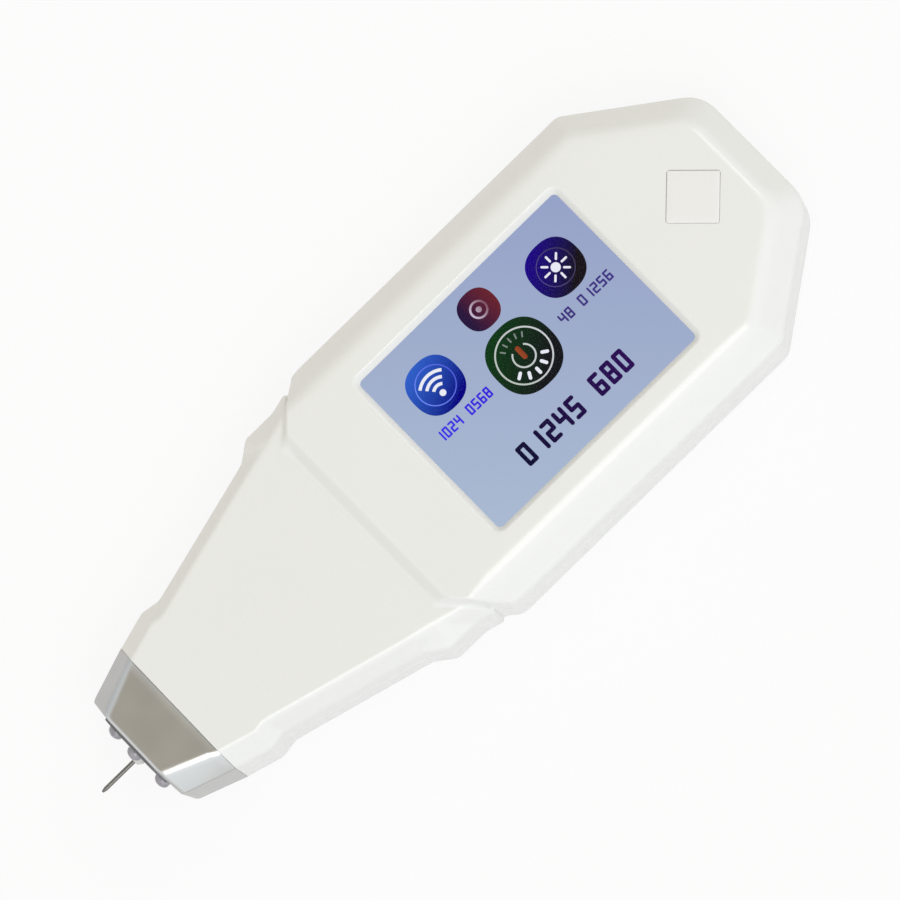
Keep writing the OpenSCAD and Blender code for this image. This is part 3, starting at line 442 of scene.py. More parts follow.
# Metal nose: a die-cast, satin-plated cap with eight faces that narrows to the front, with a raked front face
# and a spigot that slides into the collar. Polished rounds run round its top face, its other edges are crisp.
X_FRONT, NOSE_FRONT_Y, NOSE_RAKE, NOSE_GAP = -71.9, 11.75, 3.0, 0.06
FRONT_BEVEL, BACK_BEVEL = 4.3, 3.4
NOSE_ROUNDS = [0.35, 0.35, 0.3, 1.4]
PROBE_Z, LAMP_Y, LAMP_UP, LAMP_D, BUSH_D = 11.0, 6.1, 4.6, 3.0, 3.0
SPIGOT_Y, SPIGOT_TOP, SPIGOT_L, SPIGOT_BEVEL, SPIGOT_T = 12.9, 18.7, 6.0, 3.06, 1.7


def facet_ring(half, bevel, low, high, x, inset=0.0):
    """An eight-sided outline across the tester at a station, each corner rounded by a quadratic curve through
    points that lie its round away along its sides."""
    side = [(half - inset - BASE_BEVEL * 0.9, low + inset), (half - inset, WALL_LOW_Z),
            (half - inset, WALL_HIGH_Z), (half - inset - bevel, high - inset)]
    corners = np.array(side + [(-y, z) for y, z in side[::-1]])
    rounds = np.array(NOSE_ROUNDS + NOSE_ROUNDS[::-1])
    before, after = np.roll(corners, 1, 0) - corners, np.roll(corners, -1, 0) - corners
    before *= (rounds / np.hypot(*before.T))[:, None]
    after *= (rounds / np.hypot(*after.T))[:, None]
    t = np.linspace(0, 1, 7)[None, :, None]
    curve = corners[:, None] + before[:, None] * (1 - t) ** 2 + after[:, None] * t ** 2
    curve = curve.reshape(-1, 2)
    return np.column_stack([np.full(len(curve), x), curve])


def raked(ring, share=1.0):
    """A ring moved back by a share of the front face's slope, more the lower a point lies."""
    return ring + np.outer(GRIP_Z - ring[:, 2], [math.tan(math.radians(NOSE_RAKE)) * share, 0, 0])


def nose_ring(s, inset, shift=0.0, drop=0.0):
    """The nose's outline at a share s of its length, drawn in by an inset, moved, raked back at the front and
    with its top face dropped."""
    half = NOSE_FRONT_Y + (JOINT_Y - NOSE_FRONT_Y) * s
    ring = facet_ring(half, FRONT_BEVEL + (BACK_BEVEL - FRONT_BEVEL) * s, 0.0, GRIP_Z - drop,
                      X_FRONT + (X_JOINT - NOSE_GAP - X_FRONT) * s + shift, inset)
    return raked(ring, 1 - s)


FACE_IN, INNER_IN, STRIP, STRIP_DROP, FRONT_ROUND = 0.36, 1.8, 0.13, 0.38, 0.06
front_face = nose_ring(0.0, FACE_IN)
face_middle = front_face.mean(0)
nose = lofted("nose_cap", [face_middle + (front_face - face_middle) * k for k in (0.1, 0.4, 0.7, 1.0)] + [
    nose_ring(0.0, 0.18, 0.05), nose_ring(0.0, 0.1, 0.15), nose_ring(FRONT_ROUND, 0.01),
    nose_ring(FRONT_ROUND + 0.015, 0.0), nose_ring(0.5, 0.0), nose_ring(1 - STRIP - 0.02, 0.0),
    nose_ring(1 - STRIP, 0.0, drop=0.015), nose_ring(1.0, 0.0, drop=STRIP_DROP), nose_ring(1.0, INNER_IN),
    nose_ring(0.45, INNER_IN)])


def front_holes():
    """Cutters for the three lamps and the bush, through the nose's front."""
    return [lathe("cut_lamp", [(X_FRONT - 3, d / 2 + 0.05), (X_FRONT + 9, d / 2 + 0.05)], (0, y, PROBE_Z + z))
            for y, z, d in ((LAMP_Y, 0, LAMP_D), (-LAMP_Y, 0, LAMP_D), (0, LAMP_UP, LAMP_D), (0, 0, BUSH_D))]


cut(nose, *front_holes())
nose_metal, shader, at = material("nose_metal", Metallic=1.0)
cloud = at.noise(140, 3.0)
satin = at.noise(5200, 2.0)
plating = (cloud * 0.8 + satin * 0.2).ramp(0.3, 0.7)
vary(nose_metal, shader, Base_Color=plating.mix(rgb(188, 188, 187), rgb(196, 195, 193)),
     Roughness=cloud * 0.08 + satin * 0.06 + 0.17, Normal=bumped(satin, 0.05, 0.00001))
place(nose, "casing", "nose_metal", nose_metal, "nose_cap", sharp=50)
spigot = lofted("nose_spigot", [
    facet_ring(SPIGOT_Y - t, SPIGOT_BEVEL, WALL_T + t, SPIGOT_TOP - t, x)
    for t, x in ((0, X_JOINT - 1), (0, X_JOINT + SPIGOT_L - 0.3), (0.3, X_JOINT + SPIGOT_L),
                 (SPIGOT_T, X_JOINT + SPIGOT_L), (SPIGOT_T, X_JOINT - 1), (0, X_JOINT - 1))])
place(spigot, "casing", "nose_metal", nose_metal, sharp=50)

# Front plate: a thin dark grey moulding with holes for the lamps and the bush, stuck on the nose's front face.
# From above, a narrow strip of it shows beyond the metal; that dark strip is partly painted shade under the
# front edge.
PLATE_OUT, PLATE_Y, PLATE_LOW, PLATE_HIGH, PLATE_BEVEL = 0.7, 8.0, 2.5, 18.6, 3.0
plate = lofted("front_plate", [
    raked(facet_ring(PLATE_Y - t, PLATE_BEVEL, PLATE_LOW + t, PLATE_HIGH - t, X_FRONT + x))
    for t, x in ((0.15, -PLATE_OUT), (0, 0.15 - PLATE_OUT), (0, -0.01))])
cut(plate, *front_holes())
# The plate's dark grey is partly painted shade: it stands in for the shade under the nose's front edge.
plate_plastic_and_shade = moulded("plate_plastic_and_shade", rgb(116, 116, 118), rgb(98, 98, 101), 0.4)
place(plate, "casing", "bush_plastic", plate_plastic_and_shade)

# Needle probe: a copper-cored steel needle with a short, blunt ground tip. It slides back into the nose with
# its carrier when it is pressed on a stone.
X_TIP, NEEDLE_R = -82.0, 0.4
NEEDLE_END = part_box("probe_needle")[1][0] * 1000
needle = lathe("probe_needle", [
    (X_TIP, 0.02), (X_TIP + 0.03, 0.15), (X_TIP + 0.12, 0.22), (X_TIP + 0.7, NEEDLE_R - 0.03),
    (X_TIP + 0.95, NEEDLE_R), (NEEDLE_END - 0.1, NEEDLE_R), (NEEDLE_END, NEEDLE_R - 0.1)], (0, 0, PROBE_Z))
needle_metal, shader, at = material("needle_metal", Metallic=1.0)
grinding = at.make("ShaderNodeMapping", {}, {"Vector": at, "Scale": (1.0, 0.05, 0.05)}).noise(9000, 2.0)
vary(needle_metal, shader, Base_Color=grinding.ramp(0.3, 0.7).mix(rgb(106, 103, 99), rgb(128, 125, 120)),
     Roughness=grinding * 0.2 + 0.3, Normal=bumped(grinding, 0.15, 0.00001))
place(needle, "probe", "needle_metal", needle_metal, "probe_needle")

# Bush: a small turned guide of pale grey, heat-proof plastic round the needle. It is pressed into the nose's
# front, and the needle slides in its bore.
BUSH_TIP, BUSH_BORE_R = X_FRONT - 2.2, 0.5
BUSH_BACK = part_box("probe_bush")[1][0] * 1000
bush = lathe("probe_bush", [
    (BUSH_BACK, BUSH_BORE_R), (BUSH_BACK, BUSH_D / 2), (X_FRONT - 1.3, BUSH_D / 2),
    (X_FRONT - 1.45, BUSH_D / 2 - 0.1), (BUSH_TIP + 0.25, 1.05), (BUSH_TIP + 0.06, 0.9), (BUSH_TIP, 0.7),
    (BUSH_TIP + 0.06, BUSH_BORE_R), (BUSH_BACK, BUSH_BORE_R)], (0, 0, PROBE_Z))
bush_plastic = moulded("bush_plastic", rgb(226, 225, 222), rgb(208, 206, 204), 0.42)
place(bush, "casing", "bush_plastic", bush_plastic, "probe_bush")

# Lamps: three small round lamps with domed, smoky clear lenses, two ultraviolet ones beside the needle and
# one above it for testing. They are pushed into the nose from behind.
LAMP_OUT, LAMP_DOME, LAMP_BACK, FLANGE, FLANGE_T = 2.0, 1.1, 4.5, 0.3, 0.8
lens, shader, at = material("lamp_lens", Transmission_Weight=0.3, IOR=1.5, Coat_Weight=0.4)
depth = at.noise(900, 2.0)
vary(lens, shader, Base_Color=depth.ramp(0.3, 0.7).mix(rgb(164, 161, 168), rgb(196, 193, 202)),
     Roughness=depth * 0.15 + 0.12)


def lamp(name, y, z):
    """A lamp's turned lens: a domed front, a straight barrel and a flange behind the nose's wall."""
    t = np.linspace(0, math.pi / 2, 9)
    dome = np.stack([X_FRONT - LAMP_OUT + LAMP_DOME * (1 - np.cos(t)), LAMP_D / 2 * np.sin(t) + 0.01], -1)
    back = [(X_FRONT + LAMP_BACK - 0.1, LAMP_D / 2), (X_FRONT + LAMP_BACK, LAMP_D / 2 + FLANGE),
            (X_FRONT + LAMP_BACK + FLANGE_T, LAMP_D / 2 + FLANGE)]
    return lathe(name, np.concatenate([dome, back]), (0, y, PROBE_Z + z), sides=32)


place(lamp("side_lamp_1", LAMP_Y, 0), "casing", "lamp_lens", lens, "uv_leds")
place(lamp("side_lamp_2", -LAMP_Y, 0), "casing", "lamp_lens", lens, "uv_leds")
place(lamp("test_lamp", 0, LAMP_UP), "casing", "lamp_lens", lens, "test_lamp")

# Power key: a bare square cap of the casing's plastic, turned 45 degrees, on a round lip that holds it in
# and a stem that presses the switch. Its face is flush with the head's top, with a fine groove round it.
LIP_TOP, LIP_T, LIP_R, STEM_R, KEY_SPARE = 20.9, 0.8, 5.4, 1.5, 0.1
STEM_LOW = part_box("power_key")[0][2] * 1000
key = lofted("power_key", [
    round_ring(KEY_SIDE - 2 * s, KEY_SIDE - 2 * s, KEY_R, z) @ TURN_45 + [KEY_X, 0, 0]
    for s, z in ((-KEY_SPARE, LIP_TOP - LIP_T / 2), (-KEY_SPARE, HEAD_Z - 0.24), (0.0, HEAD_Z - 0.1),
                 (0.08, HEAD_Z - 0.02), (0.16, HEAD_Z), (1.5, HEAD_Z))])
key_plastic = moulded("key_plastic", rgb(238, 238, 235), rgb(233, 233, 230), 0.32, 0.5)
place(key, "key", "key", key_plastic, "power_key")
lip = lathe("key_lip", [
    (STEM_LOW, 0.01), (STEM_LOW, STEM_R), (LIP_TOP - LIP_T, STEM_R), (LIP_TOP - LIP_T, LIP_R - 0.1),
    (LIP_TOP - LIP_T + 0.1, LIP_R), (LIP_TOP - 0.1, LIP_R), (LIP_TOP, LIP_R - 0.1), (LIP_TOP, 0.01)],
    (KEY_X, 0, 0), "Z", sides=64)
place(lip, "key", "key", key_plastic)

# Display: a flat colour panel behind the touch glass. The plate is the panel's body, and the lit picture lies
# just under the glass as thin layers: a plain ground, four buttons with generic signs, and plain numbers.
GLASS_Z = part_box("touch_glass")[0][2] * 1000
panel_low, panel_high = np.array(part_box("lcd_panel")) * 1000
panel_l, panel_w = (panel_high - panel_low)[:2]
PANEL_TOP, LAYER = GLASS_Z - 0.14, 0.02
ON_PANEL, ON_GROUND, ON_BUTTON, ON_SIGN = 1, 2, 3, 4
PICTURE_L, PICTURE_W = 50.6, 38.6
panel = lofted("display_panel", [
    round_ring(panel_l - 2 * s, panel_w - 2 * s, 0.6, z) + [WINDOW_X, 0, 0]
    for s, z in ((0.1, panel_low[2]), (0, panel_low[2] + 0.1), (0, PANEL_TOP - 0.1), (0.1, PANEL_TOP))])
panel_body = moulded("panel_body", rgb(74, 78, 84), rgb(58, 62, 68), 0.4)
place(panel, "casing", "display", panel_body, "lcd_panel")


def sector(x, y, inner, outer, start=0.0, end=360.0, sides=72):
    """Part of a flat ring round (x, y), between two radii and two angles in degrees."""
    t = np.radians(np.linspace(start, end, sides + 1))
    turn = np.stack([np.cos(t), np.sin(t)], -1)
    return np.concatenate([turn * inner, turn * outer]) + [x, y], grid_faces(2, sides + 1)


def button(x, y, half_l, half_w, power=2.4, sides=96):
    """A flat shape between a circle and a square: the outline on which the powers of the two distances from
    (x, y), as shares of the half lengths, add up to 1."""
    t = np.radians(np.linspace(0, 360, sides + 1))
    turn = np.stack([np.cos(t), np.sin(t)], -1)
    outline = turn / (np.abs(turn) ** power).sum(-1, keepdims=True) ** (1 / power) * [half_l, half_w]
    return np.concatenate([0 * outline, outline]) + [x, y], grid_faces(2, sides + 1)


def spoke(x, y, inner, outer, width, angle):
    """A flat bar with round ends that points away from (x, y), between two radii."""
    t = np.linspace(-1, 1, 33)
    half, r = (outer - inner) / 2, width / 2
    along = np.clip(t * (half + r), -half, half)
    bulge = np.sqrt(np.clip(1 - (np.maximum(np.abs(along) - (half - r), 0) / r) ** 2, 0, 1)) * r
    c, s = math.cos(math.radians(angle)), math.sin(math.radians(angle))
    rows = np.stack([np.tile(along, 2) + inner + half, np.concatenate([-bulge, bulge])], -1)
    return rows @ np.array([[c, s], [-s, c]]) + [x, y], grid_faces(2, len(t))


def picture_layer(name, layer, ink, *parts):
    """Flat shapes in the window's own coordinates, joined as one piece at a layer of the picture."""
    counts = np.cumsum([0] + [len(p) for p, _ in parts])[:-1]
    flat = np.concatenate([p for p, _ in parts]) + [WINDOW_X, 0]
    faces = np.concatenate([f + n for n, (_, f) in zip(counts, parts)])
    item = mesh_object(name, np.column_stack([flat, np.full(len(flat), PANEL_TOP + LAYER * layer)]), faces)
    if item.data.polygons[0].normal.z < 0:
        item.data.flip_normals()
    return place(item, "casing", "display", ink)


PIXEL, PIXEL_EDGE, PIXEL_DARK = 0.153, (0.86, 0.9), 0.08


def lit_ink(name, first, last, x=0.0, y=0.0, run=PICTURE_L, angle=0.0):
    """Light of a lit picture: a colour that runs from first to last at an angle, over a run centred on (x, y),
    crossed by the fine dark lines between the panel's dots."""
    made, shader, at = material(name, Base_Color=(0.0, 0.0, 0.0, 1.0), Roughness=0.5, Emission_Strength=1.0,
                                Specular_IOR_Level=0.0)
    c, s = math.cos(math.radians(angle)), math.sin(math.radians(angle))
    along = at.axis("X") * (1000 * c / run) + at.axis("Y") * (1000 * s / run)
    share = along - (((WINDOW_X + x) * c + y * s) / run - 0.5)
    dots = [at.math("FRACT", at.axis(way) * (1000 / PIXEL)).ramp(*PIXEL_EDGE) for way in "XY"]
    dark = at.math("MAXIMUM", *dots) * PIXEL_DARK
    vary(made, shader, Emission_Color=dark.mix(share.ramp(0.0, 1.0).mix(first, last), (0.0, 0.0, 0.0, 1.0)))
    return made


SEGMENTS = {"0": "abcdef", "1": "bc", "2": "abged", "4": "fgbc", "5": "afgcd", "6": "afgedc", "8": "abcdefg"}
SEGMENT_ENDS = {"a": (0, 2, 1, 2), "b": (1, 2, 1, 1), "c": (1, 1, 1, 0), "d": (0, 0, 1, 0), "e": (0, 0, 0, 1),
                "f": (0, 1, 0, 2), "g": (0, 1, 1, 1)}
FIGURE_SHARE = 0.78


def numbers(name, words, left, right, low, high, stroke, ink):
    """Plain numbers in a rectangle of the picture, each figure built of straight bars between its corners."""
    pitch = (right - left) / len(words)
    wide, half = pitch * FIGURE_SHARE - stroke, (high - low - stroke) / 2
    parts = []
    for number, figure in enumerate(words):
        for bar in SEGMENTS.get(figure, ""):
            x0, y0, x1, y1 = np.array(SEGMENT_ENDS[bar]) * [wide, half, wide, half]
            angle = math.degrees(math.atan2(y1 - y0, x1 - x0))
            parts.append(spoke(left + stroke / 2 + pitch * number + x0, low + stroke / 2 + y0,
                               -stroke / 2, math.hypot(x1 - x0, y1 - y0) + stroke / 2, stroke, angle))
    return picture_layer(name, ON_GROUND, ink, *parts)


ground = round_ring(PICTURE_L, PICTURE_W, 1.0, 0.0)[:, :2]
sky = lit_ink("light_ground", rgb(172, 188, 212), rgb(151, 163, 201), run=62, angle=45)
picture_layer("screen_ground", ON_PANEL, sky,
              (np.concatenate([0 * ground, ground]), grid_faces(2, len(ground), closed=True)))
white = lit_ink("light_white", rgb(238, 240, 248), rgb(232, 234, 246))

LINK_X, LINK_Y, LINK_L, LINK_W, LINK_RING = -14.7, 8.7, 5.14, 5.3, (3.62, 3.82)
WAVE_Y, WAVE_DOT, WAVE_T, WAVES, WAVE_ARC = LINK_Y - 1.9, 0.62, 0.6, (1.35, 2.6, 3.85), (50, 130)
blue = lit_ink("light_blue", rgb(50, 98, 204), rgb(10, 4, 128), LINK_X - 1.0, LINK_Y, 10.5, -65)
picture_layer("screen_link_button", ON_GROUND, blue, button(LINK_X, LINK_Y, LINK_L, LINK_W))
pale_blue = lit_ink("light_pale_blue", rgb(112, 142, 250), rgb(84, 96, 226), LINK_X, LINK_Y, 8)
picture_layer("screen_link_ring", ON_BUTTON, pale_blue, sector(LINK_X, LINK_Y, *LINK_RING))
picture_layer("screen_link_sign", ON_BUTTON, white, sector(LINK_X, WAVE_Y, 0, WAVE_DOT), *[
    sector(LINK_X, WAVE_Y, r, r + WAVE_T, *WAVE_ARC, sides=24) for r in WAVES])

MODE_X, MODE_Y, MODE_L, MODE_W, MODE_RING, MODE_DOT = 0.25, 13.1, 3.73, 3.8, (1.35, 1.75), 0.55
red = lit_ink("light_red", rgb(42, 24, 62), rgb(110, 37, 46), MODE_X + 0.7, MODE_Y, 6.6, 1)
picture_layer("screen_mode_button", ON_GROUND, red, button(MODE_X, MODE_Y, MODE_L, MODE_W))
lilac = lit_ink("light_lilac", rgb(206, 190, 214), rgb(120, 66, 84), MODE_X, MODE_Y, 3.6)
picture_layer("screen_mode_sign", ON_BUTTON, lilac, sector(MODE_X, MODE_Y, *MODE_RING),
              sector(MODE_X, MODE_Y, 0, MODE_DOT))

START_X, START_Y, START_L, START_W, START_RING = 0.25, 1.3, 6.55, 6.77, (5.07, 5.38)
POWER_RING, POWER_GAP, POWER_BAR = (1.95, 2.27), (128, 412), (-0.7, 2.2, 0.95)
MARKS, TICKS = (2.95, 4.55, 0.62), (3.3, 4.45, 0.3)
MARK_ANGLES, TICK_ANGLES = range(214, 327, 28), range(52, 129, 19)
green = lit_ink("light_green", rgb(18, 58, 26), rgb(24, 25, 29), START_X - 1.6, START_Y, 11, -57)
picture_layer("screen_start_button", ON_GROUND, green, button(START_X, START_Y, START_L, START_W))
silver = lit_ink("light_silver", rgb(188, 198, 190), rgb(206, 210, 214), START_X, START_Y, 10.6)
picture_layer("screen_start_ring", ON_BUTTON, silver, sector(START_X, START_Y, *START_RING),
              sector(START_X, START_Y, *POWER_RING, *POWER_GAP))
picture_layer("screen_start_marks", ON_BUTTON, white, *[
    spoke(START_X, START_Y, *MARKS, q) for q in MARK_ANGLES])
grey = lit_ink("light_grey", rgb(122, 138, 124), rgb(130, 136, 136), START_X, START_Y, 8)
picture_layer("screen_start_ticks", ON_BUTTON, grey, *[
    spoke(START_X, START_Y, *TICKS, q) for q in TICK_ANGLES])
rust = lit_ink("light_rust", rgb(168, 84, 44), rgb(116, 44, 30), START_X, START_Y, 2.4)
picture_layer("screen_start_sign", ON_SIGN, rust, spoke(START_X, START_Y, *POWER_BAR, 90))

TORCH_X, TORCH_Y, TORCH_L, TORCH_W, TORCH_RING = 15.3, 8.8, 5.2, 5.3, (3.42, 3.6)
SUN_R, RAYS, RAY_ANGLES = 0.92, (1.3, 2.75, 0.42), range(0, 360, 45)
violet = lit_ink("light_violet", rgb(32, 9, 138), rgb(26, 22, 28), TORCH_X - 1.7, TORCH_Y, 9.5, -50)
picture_layer("screen_torch_button", ON_GROUND, violet, button(TORCH_X, TORCH_Y, TORCH_L, TORCH_W))
dim = lit_ink("light_dim", rgb(84, 70, 132), rgb(70, 62, 92), TORCH_X, TORCH_Y, 7)
picture_layer("screen_torch_ring", ON_BUTTON, dim, sector(TORCH_X, TORCH_Y, *TORCH_RING))
picture_layer("screen_torch_sign", ON_BUTTON, white, sector(TORCH_X, TORCH_Y, 0, SUN_R), *[
    spoke(TORCH_X, TORCH_Y, *RAYS, q) for q in RAY_ANGLES])

LABEL_LOW, LABEL_HIGH, LABEL_STROKE = 0.1, 2.2, 0.36
SCALE_LOW, SCALE_HIGH, SCALE_STROKE = -14.0, -9.7, 0.8
LINK_LABEL, TORCH_LABEL, SCALE = (-21.1, -8.1), (9.2, 21.9), (-12.8, 13.9)
numbers("screen_link_label", "1024 0568", *LINK_LABEL, LABEL_LOW, LABEL_HIGH, LABEL_STROKE,
        lit_ink("light_label_blue", rgb(66, 52, 232), rgb(58, 30, 220), LINK_X, run=13))
numbers("screen_torch_label", "48 01256", *TORCH_LABEL, LABEL_LOW, LABEL_HIGH, LABEL_STROKE,
        lit_ink("light_label_violet", rgb(62, 48, 124), rgb(66, 52, 134), TORCH_X, run=13))
numbers("screen_scale", "01245 680", *SCALE, SCALE_LOW, SCALE_HIGH, SCALE_STROKE,
        lit_ink("light_navy", rgb(17, 17, 52), rgb(46, 16, 86), run=27))

# Touch glass: a clear plate under the casing's rim, with a coating that takes most of its reflections away and
# makes what is left of its gloss a little uneven.
glass, shader, at = material("touch_glass", Base_Color=(1.0, 1.0, 1.0, 1.0), Transmission_Weight=1.0, IOR=1.08)
vary(glass, shader, Roughness=at.noise(60, 2.0) * 0.02)


def dress(node, finish):
    """Gives a CAD node its finish."""
    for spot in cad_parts[node].material_slots:
        spot.material = finish


dress("touch_glass", glass)

# Probe spring: a wound steel compression spring between the heater and the barrel's cap, with closed end
# turns. It shortens as the needle is pressed in.
spring_low, spring_high = np.array(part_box("probe_spring")) * 1000
SPRING_TURNS, END_TURN, END_RISE, WIRE_R, PRESS = 7, 0.7, 0.08, 0.25, 2.0
spring_l = spring_high[0] - spring_low[0]
coil_r = (spring_high[1] - spring_low[1]) / 2 - WIRE_R


def coil(turns, steps=220, sides=10):
    """A wire round a helix: the pitch eases to nothing over the first and last turn, and each ring of the wire
    stands across the helix."""
    t = np.linspace(0, 1, steps)[:, None]
    share = np.clip((t * turns - END_TURN) / (turns - 2 * END_TURN), 0, 1)
    x = spring_low[0] + WIRE_R + (spring_l - 2 * WIRE_R) * (END_RISE * t + (1 - END_RISE) * share)
    q = 2 * math.pi * turns * t
    w = np.linspace(0, 2 * math.pi, sides, endpoint=False)[None, :]
    r = coil_r + WIRE_R * np.cos(w)
    return np.stack([x + WIRE_R * np.sin(w), r * np.cos(q), PROBE_Z + r * np.sin(q)], -1)


def machined(name, pale, dark, roughness, metallic=1.0):
    """Machined or drawn metal: fine streaks along the tester, and a slow drift of colour and gloss."""
    made, shader, at = material(name, Metallic=metallic)
    lines = at.make("ShaderNodeMapping", {}, {"Vector": at, "Scale": (0.1, 1.0, 1.0)}).noise(4000, 2.0)
    drift = at.noise(120, 3.0)
    vary(made, shader, Base_Color=(lines * 0.5 + drift * 0.5).ramp(0.3, 0.7).mix(dark, pale),
         Roughness=lines * 0.12 + drift * 0.12 + (roughness - 0.12), Normal=bumped(lines, 0.1, 0.00002))
    return made


steel = machined("steel", rgb(196, 196, 194), rgb(170, 170, 169), 0.3)
spring = lofted("probe_spring", coil(SPRING_TURNS))
place(spring, "casing", "steel", steel, "probe_spring")
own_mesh(spring)

# Inner pieces: they keep their CAD shapes, which are right, and get their real finishes. The boards are green
# lacquered laminate, the chips and buzzer black mouldings, the barrel brass and the screws bright steel.
circuit_board, shader, at = material("circuit_board", Coat_Weight=0.4)
tracks = at.make("ShaderNodeTexVoronoi", {"distance": "CHEBYCHEV"}, {"Vector": at, "Scale": 420})
tracks = tracks.ramp(0.42, 0.5)
weave = at.noise(2000, 2.0)
vary(circuit_board, shader, Base_Color=tracks.mix(rgb(22, 92, 56), rgb(40, 122, 78)),
     Roughness=weave * 0.2 + 0.3, Normal=bumped(tracks * 0.7 + weave * 0.3, 0.3, 0.00003))
black_rubber = moulded("black_rubber", rgb(44, 44, 46), rgb(32, 32, 34), 0.6)
white_plastic = moulded("white_plastic", rgb(228, 228, 226), rgb(214, 214, 212), 0.45)
dark_plastic = moulded("dark_plastic", rgb(52, 52, 56), rgb(38, 38, 42), 0.42)
flex_cable = moulded("flex_cable", rgb(196, 128, 58), rgb(176, 108, 44), 0.35, 0.4)
heater_coat = moulded("heater_coat", rgb(150, 84, 62), rgb(128, 66, 50), 0.5)
cell_foil = machined("cell_foil", rgb(186, 190, 196), rgb(160, 164, 172), 0.34, 0.8)
brass = machined("brass", rgb(214, 180, 110), rgb(190, 152, 86), 0.28)
FINISHES = {
    circuit_board: ["main_board", "led_board"],
    black_rubber: ["screen_gasket", "battery_pad"],
    white_plastic: ["lcd_frame", "probe_holder"],
    dark_plastic: ["board_chips", "buzzer", "switch_plunger", "probe_carrier"],
    flex_cable: ["lcd_ribbon", "probe_ribbon", "led_ribbon"],
    heater_coat: ["probe_heater"],
    cell_foil: ["battery"],
    brass: ["probe_barrel", "barrel_cap"],
    steel: ["tact_switch", "radio_module", "usb_socket", "board_screws", "case_screws", "nose_screws"],
}
for finish, nodes in FINISHES.items():
    for node in nodes:
        dress(node, finish)

# Floor: a plain white table top, which isn't part of the tester. To the camera and in reflections it is
# lifted towards white, and it keeps the tester's shadow.
FLOOR, FLOOR_Z, FLOOR_LIFT, FLOOR_MIRROR = 1.5, -0.0001, 0.86, 0.4
floor_mesh = bpy.data.meshes.new("floor")
floor_mesh.from_pydata([(x * FLOOR, y * FLOOR, FLOOR_Z) for x, y in ((-1, -1), (1, -1), (1, 1), (-1, 1))], [],
                       [(0, 1, 2, 3)])
floor = bpy.data.objects.new("floor", floor_mesh)
scene.collection.objects.link(floor)
floor_white, shader, at = material("floor_white", Specular_IOR_Level=0.1)
vary(floor_white, shader, Roughness=at.noise(40, 2.0) * 0.1 + 0.85,
     Base_Color=at.noise(6, 2.0).ramp(0.3, 0.7).mix((0.81, 0.81, 0.81, 1.0), (0.83, 0.83, 0.83, 1.0)))


def seen(socket, glossy):
    """1 for the camera's rays and those through glass, which show a background, and a share for reflections."""
    camera, mirror, through = [socket.make("ShaderNodeLightPath", {}, {}, "Is %s Ray" % kind)
                               for kind in ("Camera", "Glossy", "Transmission")]
    return socket.math("MINIMUM", camera + mirror * glossy + through, 1.0)


glow = at.make("ShaderNodeEmission", {}, {"Color": (1.0, 1.0, 1.0, 1.0), "Strength": 1.0})
lifted = at.make("ShaderNodeMixShader", {}, {
    0: seen(at, FLOOR_MIRROR) * FLOOR_LIFT, 1: Socket(at.tree, shader.outputs[0]), 2: glow})
at.tree.links.new(lifted.out, at.tree.nodes["Material Output"].inputs["Surface"])
floor_mesh.materials.append(floor_white)

# Camera: a long lens almost straight above, turned so that the tester lies from lower left to upper right as
# in the photograph. The tilt and turn come from fitting the tester's corners to the picture.
TILT_X, TILT_Y, ROLL = math.radians(0.25), math.radians(11.75), math.radians(44.3)
DISTANCE, LENS, SENSOR = 1400.0, 312.7, 36.0
ANCHOR = Vector((6.1, 0.0, 12.0))
ANCHOR_RIGHT, ANCHOR_UP = 0.63, 0.38
back = Vector((-math.tan(TILT_X), -math.tan(TILT_Y), 1.0)).normalized()
across = (Vector((1, 0, 0)) - back * back.x).normalized()
above = back.cross(across)
right = across * math.cos(ROLL) - above * math.sin(ROLL)
up = across * math.sin(ROLL) + above * math.cos(ROLL)
aim = ANCHOR - right * ANCHOR_RIGHT - up * ANCHOR_UP
camera_data = bpy.data.cameras.new("camera")
camera_data.lens, camera_data.sensor_width, camera_data.clip_end = LENS, SENSOR, 10.0
camera = bpy.data.objects.new("camera", camera_data)
turn = Matrix((right, up, back)).transposed().to_4x4()
camera.matrix_world = Matrix.Translation((aim + back * DISTANCE) * 0.001) @ turn
scene.collection.objects.link(camera)
scene.camera = camera

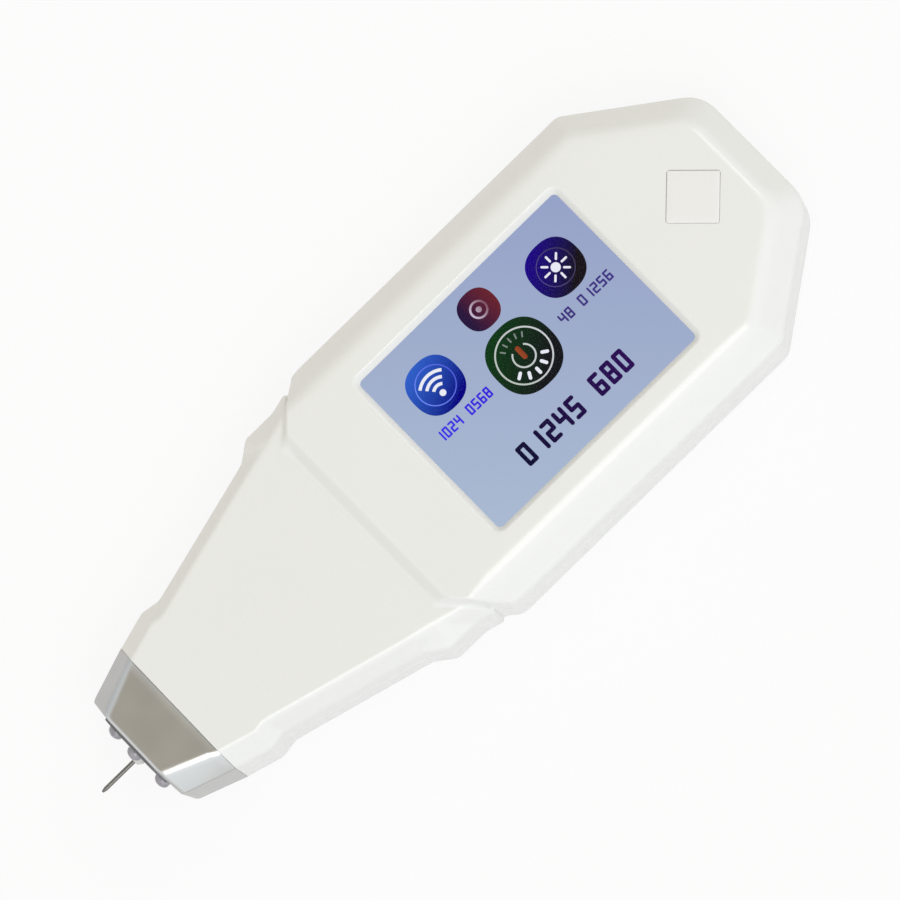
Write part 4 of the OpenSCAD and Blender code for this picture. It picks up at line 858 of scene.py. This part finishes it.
# Light: a soft lamp from the near side, a small one beyond the head end that draws fine lines along its edges,
# and a white room, warmer on the far side. In reflections the room's ceiling is darker than its walls, and so
# are the far wall and the one beyond the nose.
LAMPS = {
    "near": ((-0.24, -0.96, 1.74), 1.4, 13.0),
    "end": ((0.9, 0.24, 0.76), 0.35, 0.8),
}
for name, (spot, size, power) in LAMPS.items():
    lamp_data = bpy.data.lights.new(name, "AREA")
    lamp_data.shape, lamp_data.size, lamp_data.energy = "DISK", size, power
    lamp_item = bpy.data.objects.new(name, lamp_data)
    lamp_item.location = spot
    lamp_item.rotation_euler = (Vector((0, 0, 0.01)) - Vector(spot)).to_track_quat("-Z", "Y").to_euler()
    scene.collection.objects.link(lamp_item)
ROOM = 0.73
ROOM_WHITE, ROOM_COOL, ROOM_WARM = (1.0, 1.0, 1.0, 1.0), (1.03, 1.04, 1.08, 1.0), (0.90, 0.83, 0.69, 1.0)
CEILING, WALLS = (0.60, 0.565, 0.485, 1.0), (1.33, 1.39, 1.43, 1.0)
NOSE_WALL, FAR_WALL = (0.65, 0.65, 0.63, 1.0), (0.80, 0.83, 0.86, 1.0)
world = bpy.data.worlds.new("room")
world.use_nodes = True
scene.world = world
facing = Socket(world.node_tree).make("ShaderNodeTexCoord", {}, {}, "Generated")
mirrored = facing.make("ShaderNodeLightPath", {}, {}, "Is Glossy Ray")
lighting = facing.axis("Y").ramp(-0.3, 0.9).mix(ROOM_COOL, ROOM_WARM)
walls = facing.axis("Y").ramp(0.2, 0.9).mix(WALLS, FAR_WALL)
walls = facing.axis("X").ramp(-0.95, -0.75).mix(NOSE_WALL, walls)
reflected = facing.axis("Z").ramp(0.72, 0.93).mix(walls, CEILING)
shown = world.node_tree.nodes["Background"]
shows = seen(facing, 1.0)
plain = shows.mix(lighting, ROOM_WHITE)
world.node_tree.links.new(mirrored.mix(plain, reflected).out, shown.inputs["Color"])
world.node_tree.links.new((shows * (1 - ROOM) + ROOM).out, shown.inputs["Strength"])
scene.view_settings.view_transform = "Standard"
